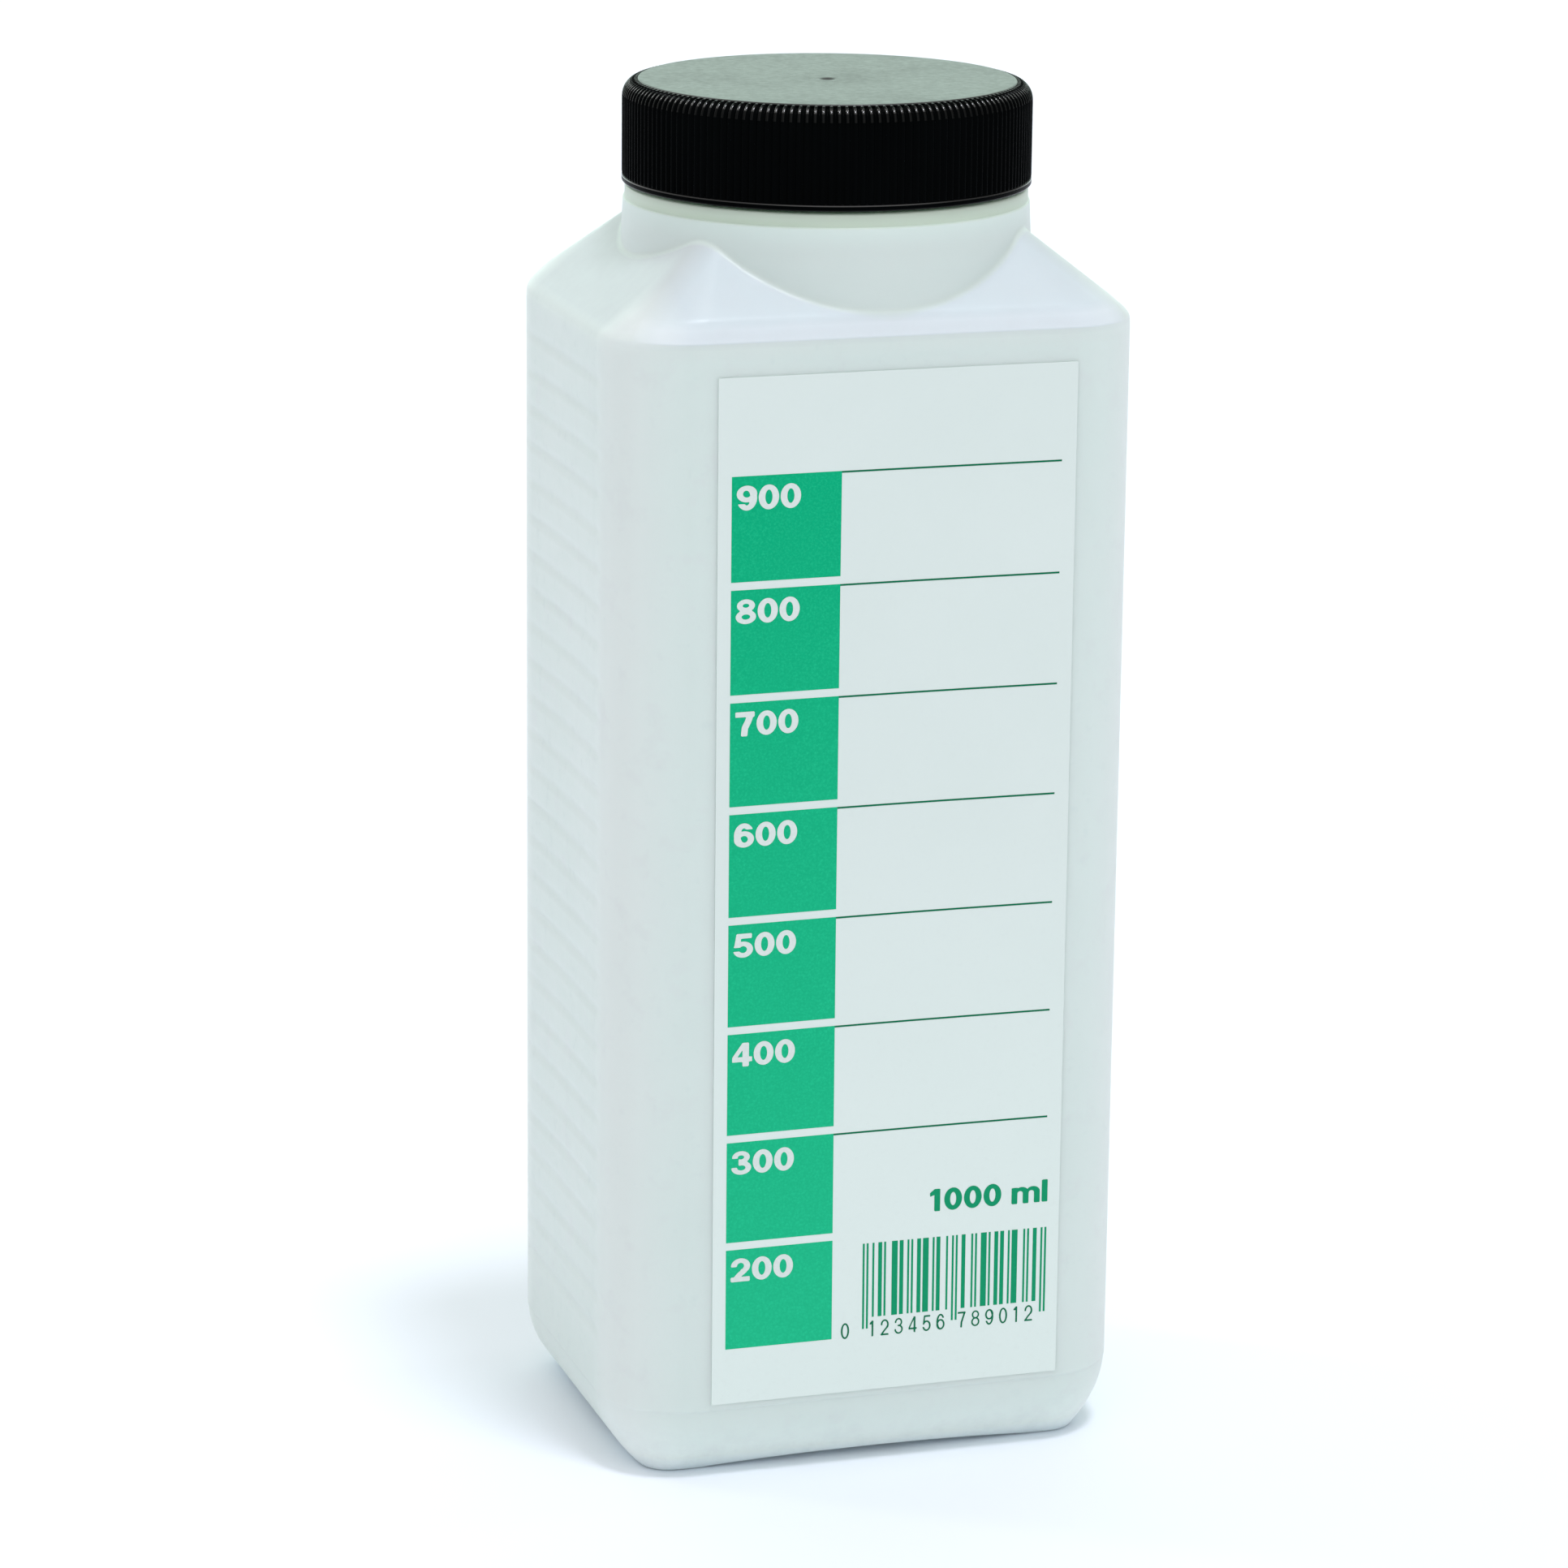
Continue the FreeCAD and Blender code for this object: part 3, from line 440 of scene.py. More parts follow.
def ring_body(z, phi, out=0.0, grooves=True):
    hx, hy, r = section(z, out)
    R = rect_radius(phi, hx, hy, r)
    x, y = R * np.cos(phi), R * np.sin(phi)
    if out == 0.0 and FOOT < z < 186.5:
        dy, dx = sink(x, y, z)
        if grooves:
            g = groove(y, z)
            side = np.abs(x) > HX - 1.2
            dx = dx + np.where(side, g, 0.0)
        x = x - np.sign(x) * dx
        y = y - np.sign(y) * dy
    elif out > 0 and FOOT < z < 186.5:
        xo, yo = x + np.sign(x) * (HX - hx), y + np.sign(y) * (HY - hy)
        wz = max(0.0, 1 - ((z - 108.0) / 84.0) ** 2)
        fr = np.abs(np.abs(y) - hy) < 0.02
        sd = np.abs(np.abs(x) - hx) < 0.02
        y = y - np.sign(y) * np.where(fr, 0.5 * np.maximum(0, 1 - (x / (HX - RC)) ** 2) ** 1.4 * wz, 0)
        x = x - np.sign(x) * np.where(sd, 0.3 * np.maximum(0, 1 - (y / (HY - RC)) ** 2) ** 1.4 * wz + 0.3, 0)
    return np.stack([x, y, np.full_like(x, z)], -1)


def arch(x, y):
    ax = 1.1 * np.maximum(0, 1 - (x / (HX - 15.75)) ** 2)
    ay = 1.1 * np.maximum(0, 1 - (y / (HY - 15.25)) ** 2)
    return np.maximum(ax, ay)


def soft_max(a, b, k):
    h = np.maximum(k - np.abs(a - b), 0.0)
    return np.maximum(a, b) + h * h / (4 * k)


def neck_radius(z):
    """The neck under its ledge: a slight draft, wider at its foot."""
    return NECK_R + (NECK_FOOT - NECK_R) * min(max((LEDGE - 0.5 - z) / 6.0, 0.0), 1.0)


def ring_shoulder(z, phi, out=0.0):
    if out == 0.0:
        hx, hy, r = section(z)
        a = rect_radius(phi, max(hx, 3.0), max(hy, 3.0), min(r, 2.5) if hy < 4 else r)
        R = soft_max(a, np.full_like(a, neck_radius(z)), 0.55)
    else:
        hx, hy, r = section(z + 1.0)
        a = rect_radius(phi, max(hx - out, 3.0), max(hy - out, 3.0), max(r - out, 1.2))
        n = NECK_FOOT - WALL if z > 189 else NECK_FOOT - WALL - (189 - z) * 0.5
        R = soft_max(a, np.full_like(a, n), 1.2)
    return np.stack([R * np.cos(phi), R * np.sin(phi), np.full_like(phi, z)], -1)


def thread(phi, z, start, turns):
    """0 to 1: how far a right-hand ridge stands out here, with tapered ends."""
    out = np.zeros_like(phi)
    p = np.mod(phi, 2 * math.pi) / (2 * math.pi)
    for n in range(3):
        tt = p + n
        d = np.abs(z - start - PITCH * tt)
        prof = np.clip((1.30 - d) / 0.8, 0.0, 1.0)
        ends = np.clip((turns - tt) / 0.07, 0.0, 1.0) * np.clip(tt / 0.07, 0.0, 1.0)
        ends = np.where(tt <= turns, ends, 0.0)
        out = np.maximum(out, prof * ends)
    return out


def build_bottle():
    V, F, M = [], [], []
    rings = []

    def add(pts):
        s = len(V)
        V.extend(pts.tolist())
        rings.append((s, len(pts)))
        return (s, len(pts))

    def strip(a, b, flip=False):
        (sa, na), (sb, nb) = a, b
        if na == nb:
            for i in range(na):
                j = (i + 1) % na
                q = (sa + i, sa + j, sb + j, sb + i)
                F.append(q[::-1] if flip else q)
        else:
            big, small = (a, b) if na > nb else (b, a)
            m = big[1] // small[1]
            for i in range(small[1]):
                j = (i + 1) % small[1]
                lo, hi = small[0] + i, small[0] + j
                pts = [big[0] + (i * m + k) % big[1] for k in range(m + 1)]
                mid = m // 2
                tri = []
                for k in range(m):
                    tri.append((lo if k <= mid else hi, pts[k + 1], pts[k]))
                tri.append((lo, hi, pts[mid + 1]))
                up = nb > na
                for t_ in tri:
                    q = t_ if (up != flip) else t_[::-1]
                    F.append(q)

    # underside: centre, recess, standing ring
    bx, by, br = section(0.0)
    rx, ry = HX - FOOT_X - 6.5, HY - FOOT_Y - 6.5
    centre = len(V)
    V.append([0, 0, 2.35])
    prev = None
    for f, zz, rr in ((0.30, 2.38, 6), (0.62, 2.44, 6), (0.90, 2.5, 6), (0.985, 2.48, 6), (1.0, 2.2, 6)):
        R = rect_radius(PHI_A, rx * f, ry * f, rr * f)
        ring = add(np.stack([R * np.cos(PHI_A), R * np.sin(PHI_A), np.full(nA, zz)], -1))
        if prev is None:
            for i in range(nA):
                F.append((centre, ring[0] + (i + 1) % nA, ring[0] + i))
        else:
            strip(prev, ring, True)
            F[-nA:] = [q for q in F[-nA:]]
        prev = ring
    for grow, zz in ((0.12, 0.35), (0.5, 0.0)):
        R = rect_radius(PHI_A, rx + grow, ry + grow, 6 + grow)
        x, y = R * np.cos(PHI_A), R * np.sin(PHI_A)
        ring = add(np.stack([x, y, zz + arch(x, y)], -1))
        strip(prev, ring, True)
        prev = ring
    for shrink, zz in ((0.45, 0.0), (0.12, 0.10)):
        R = rect_radius(PHI_A, bx - shrink, by - shrink, br - shrink)
        x, y = R * np.cos(PHI_A), R * np.sin(PHI_A)
        ring = add(np.stack([x, y, zz + arch(x, y)], -1))
        strip(prev, ring, True)
        prev = ring
    # foot, cut off below by the arches
    for z in (0.35, 0.8, 1.4, 2.1, 3.0, 4.0, 5.0, 6.0, 7.0, 8.0, 9.0, 10.0, 10.8, 11.4, 11.75, 11.95, 12.05, 12.19, 12.2):
        R0 = rect_radius(PHI_A, *section(z))
        a = arch(R0 * np.cos(PHI_A), R0 * np.sin(PHI_A))
        zz = a + z * (FOOT - a) / FOOT
        pts = np.zeros((nA, 3))
        for i in range(nA):
            h = section(float(zz[i]))
            r = float(rect_radius(PHI_A[i:i + 1], *h)[0])
            pts[i] = (r * math.cos(PHI_A[i]), r * math.sin(PHI_A[i]), zz[i])
        ring = add(pts)
        strip(prev, ring, True)
        prev = ring
    # body with its grooves
    zs = [12.5, 13.4, 15.0, 17.5, 20.0]
    for k in range(GROOVES):
        zc = GROOVE_LOW + k * GROOVE_STEP
        zs += [zc + d for d in (-1.75, -1.2, -0.65, 0.0, 0.65, 1.2, 1.75)]
    zs += [184.2, 185.2, 186.0]
    zs = sorted(z for z in set(round(z, 4) for z in zs))
    for z in zs:
        ring = add(ring_body(z, PHI_A))
        strip(prev, ring, True)
        prev = ring
    # shoulder and neck on the finer columns
    zs = [186.4, 187.0, 187.4, 187.8, 188.2, 188.6, 188.95, 189.15, 189.2, 189.32, 189.5, 189.7, 190.0, 190.28, 190.6, 190.9, 191.2, 191.5, 191.8, 192.1] + list(np.arange(192.4, 205.5, 0.36)) + [205.55]
    first = True
    for z in zs:
        ring = add(ring_shoulder(float(z), PHI_B))
        strip(prev, ring, True)
        prev = ring

    def round_ring(r, z, phi=PHI_B):
        return add(np.stack([r * np.cos(phi), r * np.sin(phi), np.zeros_like(phi) + z], -1))

    for r, z in ((NECK_R - 0.01, 205.72), (NECK_R - 0.03, 205.88), (NECK_R - 0.09, 206.02), (NECK_R - 0.18, LEDGE),
                 (COLLAR_R + 0.04, LEDGE + 0.03), (COLLAR_R, LEDGE + 0.12), (COLLAR_R, 207.2), (COLLAR_R, 208.0),
                 (COLLAR_R - 0.07, 208.17), (COLLAR_R - 0.25, 208.27), (COLLAR_R - 0.5, 208.3), (FINISH_R + 1.4, 208.3), (FINISH_R + 0.7, 208.37),
                 (FINISH_R + 0.25, 208.7), (FINISH_R, 209.0), (FINISH_R, 209.8)):
        ring = round_ring(r, z)
        strip(prev, ring, True)
        prev = ring
    for z in np.arange(210.2, 221.15, 0.37):
        t = thread(PHI_B, float(z), NECK_START, NECK_TURNS)
        ring = add(np.stack([(FINISH_R + 1.33 * t) * np.cos(PHI_B), (FINISH_R + 1.33 * t) * np.sin(PHI_B), np.full(nB, z)], -1))
        strip(prev, ring, True)
        prev = ring
    for r, z in ((FINISH_R, 221.25), (FINISH_R - 0.1, 221.6), (FINISH_R - 0.35, 221.83), (FINISH_R - 0.6, RIM),
                 (BORE_R + 0.55, RIM), (BORE_R + 0.3, 221.8), (BORE_R + 0.08, 221.5), (BORE_R, 221.1), (BORE_R, 214.0),
                 (BORE_R, 207.1), (BORE_R + 0.6, 206.6), (30.9, 204.6), (31.5, 203.9), (31.75, 203.3)):
        ring = round_ring(r, z)
        strip(prev, ring, True)
        prev = ring
    # inside of the shoulder and body, down to the floor
    for z in list(np.arange(202.4, 187.5, -1.6)):
        ring = add(ring_shoulder(float(z), PHI_B, WALL))
        strip(prev, ring, True)
        prev = ring
    for z in (187.0, 186.0, 180, 165, 145, 120, 95, 70, 45, 25, 18, 14.5, 12.8):
        ring = add(ring_body(float(z), PHI_A, WALL + 0.05))
        strip(prev, ring, True)
        prev = ring
    for z in (11.8, 10.0, 8.0, 6.0, 4.2, 2.6, 1.75):
        hx, hy, r = section(max(float(z) - 1.0, 0.0))
        R = rect_radius(PHI_A, hx - WALL, hy - WALL, max(r - WALL, 2.0))
        ring = add(np.stack([R * np.cos(PHI_A), R * np.sin(PHI_A), np.full(nA, z)], -1))
        strip(prev, ring, True)
        prev = ring
    for gx, zz in ((3.0, 1.62), (1.35, 1.70), (1.25, 3.5), (0.9, 3.88)):
        R = rect_radius(PHI_A, rx + gx, ry + gx, 7.0)
        ring = add(np.stack([R * np.cos(PHI_A), R * np.sin(PHI_A), np.full(nA, zz)], -1))
        strip(prev, ring, True)
        prev = ring
    for f in (0.6, 0.25):
        R = rect_radius(PHI_A, rx * f, ry * f, 6 * f)
        ring = add(np.stack([R * np.cos(PHI_A), R * np.sin(PHI_A), np.full(nA, 3.9)], -1))
        strip(prev, ring, True)
        prev = ring
    c = len(V)
    V.append([0, 0, 3.9])
    for i in range(nA):
        F.append((c, prev[0] + i, prev[0] + (i + 1) % nA))
    return to_mesh("bottle_shell", V, F, [M_MILKY], angle=42)


bottle = build_bottle()

# ------------------------------------------------------------------ cap
RIBS, RIB_DEEP = 162, 0.36
PER = 6


def build_cap():
    V, F, M = [], [], []
    n = RIBS * PER
    phi = np.arange(n) * 2 * math.pi / n
    frac = (np.arange(n) % PER) / PER
    tooth = 0.5 + 0.5 * np.cos(2 * math.pi * (frac))      # 1 on the crest, 0 in the valley
    tooth = np.clip(1.5 * (tooth - 0.5) + 0.5, 0, 1)

    def add(r, z):
        s = len(V)
        r = np.zeros(n) + r
        z = np.zeros(n) + z
        V.extend(np.stack([r * np.cos(phi), r * np.sin(phi), z], -1).tolist())
        return s

    def strip(a, b, mat):
        for i in range(n):
            j = (i + 1) % n
            F.append((a + i, a + j, b + j, b + i))
            M.append(mat)

    # outside, from the lower edge up: (radius on the crest, z, rib depth here, material)
    body = [(CAP_R - 1.5, CAP_LOW + 0.0, 0, 3), (CAP_R - 0.25, CAP_LOW, 0, 3), (CAP_R - 0.07, CAP_LOW + 0.07, 0, 3),
            (CAP_R, CAP_LOW + 0.22, 0, 3), (CAP_R, CAP_LOW + 0.80, 0, 0), (CAP_R - 0.04, CAP_LOW + 0.98, 0.0, 7),
            (CAP_R - 0.16, CAP_LOW + 1.10, 0.0, 0), (CAP_R - 0.05, CAP_LOW + 1.22, RIB_DEEP * 0.7, 0), (CAP_R - 0.02, CAP_LOW + 1.42, RIB_DEEP, 0),
            (CAP_R - 0.02, CAP_LOW + 6.0, RIB_DEEP, 0), (CAP_R - 0.02, CAP_TOP - 3.4, RIB_DEEP, 0)]
    for k in range(1, 9):
        a = math.radians(90.0 * k / 9.0)
        body.append((CAP_R - 0.02 - 2.40 * (1 - math.cos(a)), CAP_TOP - 3.00 + 2.84 * math.sin(a), RIB_DEEP * (1.3 if k < 8 else 1.1), {2: 5, 3: 5, 4: 5, 5: 6, 6: 6, 7: 5}.get(k, 0)))
    body += [(CAP_R - 2.46, CAP_TOP - 0.14, RIB_DEEP * 0.9, 4), (CAP_R - 2.56, CAP_TOP - 0.20, 0.0, 0)]
    prev = None
    for r, z, d, mat in body:
        lean = min(max((z - (CAP_TOP - 3.0)) / 2.86, 0.0), 1.0)
        cur = add(r - d * (1 - tooth) * (1 - 0.45 * lean), z - d * (1 - tooth) * 1.1 * lean)
        if prev is not None and mat < 4:
            strip(prev, cur, mat)
        elif prev is not None and mat == 7:      # the top of the smooth band is glossy all round
            strip(prev, cur, 4)
        elif prev is not None:
            # the crests of the ribs are rubbed glossy where they turn over the edge, the notches are not
            for i in range(n):
                j = (i + 1) % n
                F.append((prev + i, prev + j, cur + j, cur + i))
                M.append({4: 1, 5: 3, 6: 4}[mat] if tooth[i] + tooth[j] > 1.5 else 0)
        prev = cur
    # top disc: a very small step at its edge, then a nearly flat dish and the gate mark
    for r, z in ((CAP_R - 2.66, CAP_TOP - 0.06), (CAP_R - 2.76, CAP_TOP - 0.01), (CAP_R - 3.0, CAP_TOP), (28.0, CAP_TOP - 0.02), (24.0, CAP_TOP - 0.05), (18.0, CAP_TOP - 0.09),
                 (11.0, CAP_TOP - 0.12), (5.0, CAP_TOP - 0.13), (2.2, CAP_TOP - 0.13), (1.45, CAP_TOP - 0.12), (1.2, CAP_TOP - 0.20), (0.95, CAP_TOP - 0.38), (0.5, CAP_TOP - 0.45)):
        cur = add(r, z)
        strip(prev, cur, 1)
        prev = cur
    c = len(V)
    V.append([0, 0, CAP_TOP - 0.45])
    for i in range(n):
        F.append((prev + i, prev + (i + 1) % n, c))
        M.append(1)
    # inside: lower edge, skirt with its ridge, and the plate
    m = n // 3
    ph = np.arange(m) * 2 * math.pi / m

    def add_in(r, z):
        s = len(V)
        V.extend(np.stack([(np.zeros(m) + r) * np.cos(ph), (np.zeros(m) + r) * np.sin(ph), np.zeros(m) + z], -1).tolist())
        return s

    def strip_in(a, b):
        for i in range(m):
            j = (i + 1) % m
            F.append((a + j, a + i, b + i, b + j))
            M.append(2)

    lead = 0      # first outer ring starts the outside
    ip = add_in(CAP_R - 1.5, CAP_LOW)
    # stitch the outer first ring to the inner one
    for i in range(m):
        j = (i + 1) % m
        a0, a1, a2, a3 = 3 * i, 3 * i + 1, 3 * i + 2, (3 * i + 3) % n
        F.append((ip + i, ip + j, lead + a1)); M.append(0)
        F.append((ip + i, lead + a1, lead + a0)); M.append(0)
        F.append((ip + j, lead + a2, lead + a1)); M.append(0)
        F.append((ip + j, lead + a3, lead + a2)); M.append(0)
    prev = ip
    for r, z in ((31.55, CAP_LOW + 0.05), (31.32, CAP_LOW + 0.35), (31.3, CAP_LOW + 0.8)):
        cur = add_in(r, z)
        strip_in(prev, cur)
        prev = cur
    for z in np.arange(CAP_LOW + 1.1, CAP_LOW + 11.2, 0.35):
        out = np.zeros(m)
        p = ph / (2 * math.pi)
        for k in range(3):
            tt = p + k
            d = np.abs(z - CAP_START - PITCH * tt)
            prof = np.clip((1.10 - d) / 0.65, 0.0, 1.0)
            ends = np.where(tt <= CAP_TURNS, np.clip((CAP_TURNS - tt) / 0.07, 0, 1) * np.clip(tt / 0.07, 0, 1), 0)
            out = np.maximum(out, prof * ends)
        cur = add_in(31.3 - 1.08 * out, float(z))
        strip_in(prev, cur)
        prev = cur
    for r, z in ((31.3, 220.6), (31.3, 223.1), (31.0, 223.38), (30.4, 223.4), (20.0, 223.4), (8.0, 223.4)):
        cur = add_in(r, z)
        strip_in(prev, cur)
        prev = cur
    c = len(V)
    V.append([0, 0, 223.4])
    for i in range(m):
        F.append((prev + (i + 1) % m, prev + i, c))
        M.append(2)
    return to_mesh("screw_cap", V, F, [M_CAP, M_TOP, M_CAP_IN, M_EDGE, M_CREST], M, angle=50)


cap = build_cap()

# ------------------------------------------------------------------ label and its print
LX0, LX1 = l_lo[0] / MM, l_hi[0] / MM
LZ0, LZ1 = l_lo[2] / MM, l_hi[2] / MM
LAYER = 0.026


def skin(x, z, lift):
    """A point on the label's face, following the drawn-in front, lifted towards the viewer."""
    return (x, -HY + float(front_sink(np.array(x), np.array(z))) - lift, z)


def sheet_piece(name, x0, x1, z0, z1, lift, thick, mat, nx, nz, corner=0.0):
    V, F = [], []
    xs = np.linspace(x0, x1, nx + 1)
    zs = np.linspace(z0, z1, nz + 1)
    for side in (0, 1):
        for z in zs:
            for x in xs:
                xx, zz = float(x), float(z)
                if corner > 0:
                    dx = max(0.0, abs(xx - (x0 + x1) / 2) - ((x1 - x0) / 2 - corner))
                    dz = max(0.0, abs(zz - (z0 + z1) / 2) - ((z1 - z0) / 2 - corner))
                V.append(skin(xx, zz, lift - (thick if side else 0.0)))
    w = nx + 1
    off = w * (nz + 1)
    for j in range(nz):
        for i in range(nx):
            a = j * w + i
            F.append((a, a + 1, a + w + 1, a + w))
            F.append((off + a, off + a + w, off + a + w + 1, off + a + 1))
    edge = [(i, i + 1) for i in range(nx)] + [(nx + j * w, nx + (j + 1) * w) for j in range(nz)]
    edge += [(nz * w + i + 1, nz * w + i) for i in range(nx)] + [((j + 1) * w, j * w) for j in range(nz)]
    for a, b in edge:
        F.append((b, a, off + a, off + b))
    return V, F


V, F = sheet_piece("label_sheet", LX0, LX1, LZ0, LZ1, 0.062, 0.058, M_FILM, 30, 60)
label = to_mesh("label_sheet", V, F, [M_FILM], angle=40)


def merged(name, parts, mat, angle=40):
    V, F = [], []
    for v, f in parts:
        o = len(V)
        V += list(v)
        F += [tuple(i + o for i in q) for q in f]
    return to_mesh(name, V, F, [mat], angle=angle)


Z900, STEP, FIELD = 167.9, 18.33, 17.03
FX0, FX1, RX1 = -26.22, -7.99, 28.86
fields = []
rules = []
for k in range(8):
    top = Z900 - k * STEP
    fields.append(sheet_piece("f", FX0, FX1, top - FIELD, top, 0.062 + LAYER, 0.024, None, 10, 6))
    if k < 7:
        rules.append(sheet_piece("r", FX1 - 0.01, RX1, top - 0.30, top, 0.062 + LAYER, 0.024, None, 20, 1))
scale_fields = merged("scale_fields", fields, M_GREEN)
scale_rules = merged("scale_rules", rules, M_RULE)


# ------------------------------------------------------------------ plain figures, drawn from ovals and bars
def oval(x, y, cx, cy, rx, ry):
    return (np.sqrt(((x - cx) / rx) ** 2 + ((y - cy) / ry) ** 2) - 1.0) * min(rx, ry)


def bar(x, y, x0, y0, x1, y1):
    return np.maximum(np.maximum(x0 - x, x - x1), np.maximum(y0 - y, y - y1))


def convex(x, y, pts):
    """Signed distance-like value of a convex polygon given anticlockwise."""
    out = np.full_like(x, -1e9)
    for (ax, ay), (bx, by) in zip(pts, pts[1:] + pts[:1]):
        L = math.hypot(bx - ax, by - ay)
        out = np.maximum(out, ((by - ay) * (x - ax) - (bx - ax) * (y - ay)) / L)
    return out


def rod(x, y, pts, t):
    """Distance to a chain of points, less half its thickness."""
    best = np.full_like(x, 1e9)
    for (ax, ay), (bx, by) in zip(pts[:-1], pts[1:]):
        dx, dy = bx - ax, by - ay
        u = np.clip(((x - ax) * dx + (y - ay) * dy) / (dx * dx + dy * dy), 0, 1)
        best = np.minimum(best, np.hypot(x - ax - u * dx, y - ay - u * dy))
    return best - t / 2


def figure(ch, x, y, w, tv, th):
    """Value below zero inside the figure `ch`: height 1, width w, stroke tv on uprights and th on levels."""
    un, cut = np.minimum, lambda a, b: np.maximum(a, -b)

    def ring(cx, cy, rx, ry, k=1.0):
        return cut(oval(x, y, cx, cy, rx, ry), oval(x, y, cx, cy, max(rx - tv * k, 0.02), max(ry - th * k, 0.02)))

    m = w / 2
    if ch == "0":
        return ring(m, 0.5, m, 0.5)
    if ch in "69":
        if ch == "9":
            x, y = w - x, 1 - y
        low = ring(m, 0.335, m, 0.335, 0.94)
        hi = ring(m, 0.5, m, 0.5)
        hi = np.maximum(hi, np.minimum(x - m, 0.735 - y))
        return un(low, hi)
    if ch == "8":
        return un(ring(m, 0.742, 0.445 * w, 0.258, 0.86), ring(m, 0.285, m, 0.285, 0.88))
    if ch == "7":
        top = bar(x, y, 0.02 * w, 1 - th * 1.05, 0.98 * w, 1.0)
        leg = rod(x, y, [(0.98 * w - tv * 0.55, 0.93), (0.66 * w, 0.60), (0.50 * w, 0.34), (0.44 * w, -0.2)], tv * 0.98)
        return un(top, np.maximum(leg, np.maximum(-y, y - 0.98)))
    if ch == "5":
        top = bar(x, y, 0.17 * w, 1 - th, 0.94 * w, 1.0)
        stem = convex(x, y, [(0.05 * w, 0.43), (0.05 * w + tv * 0.92, 0.47), (0.17 * w + tv * 0.80, 1.0), (0.17 * w, 1.0)])
        bowl = ring(m, 0.335, m, 0.335, 0.94)
        bowl = cut(bowl, bar(x, y, -1.0, 0.27, tv * 1.25, 0.425))
        return un(un(top, stem), bowl)
    if ch == "4":
        s1 = 0.84 * w
        s0 = s1 - tv
        y0, y1 = 0.20, 0.20 + th
        slope = (1 - y1) / s0
        body = convex(x, y, [(0.0, y0), (s1, y0), (s1, 1.0), (s0, 1.0), (0.0, y1)])
        lx = tv * 0.80
        hole = convex(x, y, [(lx, y1), (s0, y1), (s0, y1 + slope * (s0 - lx))])
        return un(un(cut(body, hole), bar(x, y, s0, y0, w, y1)), bar(x, y, s0, 0.0, s1, 1.0))
    if ch == "3":
        both = un(ring(0.48 * w, 0.738, 0.445 * w, 0.262, 0.86), ring(m, 0.288, m, 0.288, 0.88))
        return cut(both, bar(x, y, -1.0, 0.315, max(tv * 1.02, 0.36 * w), 0.70))
    if ch == "2":
        arc = ring(m, 0.665, 0.485 * w, 0.335, 0.94)
        arc = np.maximum(arc, np.minimum(0.64 - y, m - x))
        arc = np.maximum(arc, 0.46 - y)
        diag = rod(x, y, [(0.985 * w - tv * 0.55, 0.62), (0.80 * w - tv * 0.25, 0.47), (0.42 * w, 0.28), (tv * 0.60, 0.06)], (tv + th) * 0.46)
        diag = np.maximum(diag, np.maximum(0.02 - y, np.maximum(-x, y - 0.70)))
        return un(un(arc, diag), bar(x, y, 0.0, 0.0, 0.97 * w, th))
    if ch == "1":
        a = 0.60 * w
        stem = bar(x, y, a - tv / 2, 0.0, a + tv / 2, 1.0)
        flag = convex(x, y, [(a - tv / 2 - 0.34 * w, 0.84 - th * 0.9), (a, 0.80), (a, 1.0), (a - tv / 2 + 0.02, 1.0), (a - tv / 2 - 0.34 * w, 0.84)])
        return un(stem, flag)
    if ch == "l":
        return bar(x, y, 0.0, 0.0, tv, 1.0)
    if ch == "m":
        g = (w - 3 * tv) / 2
        out = bar(x, y, 0.0, 0.0, tv, 0.73)
        for k in (0, 1):
            c = tv + g / 2 + k * (tv + g)
            arch = cut(oval(x, y, c + tv * 0.28, 0.50, g / 2 + tv * 0.72, 0.245), oval(x, y, c, 0.47, g / 2, 0.26 - th * 0.80))
            arch = np.maximum(arch, np.maximum(0.46 - y, c - g / 2 - tv * 0.5 - x))
            out = un(out, un(arch, bar(x, y, c + g / 2, 0.0, c + g / 2 + tv, 0.50)))
        return out
    return np.ones_like(x)


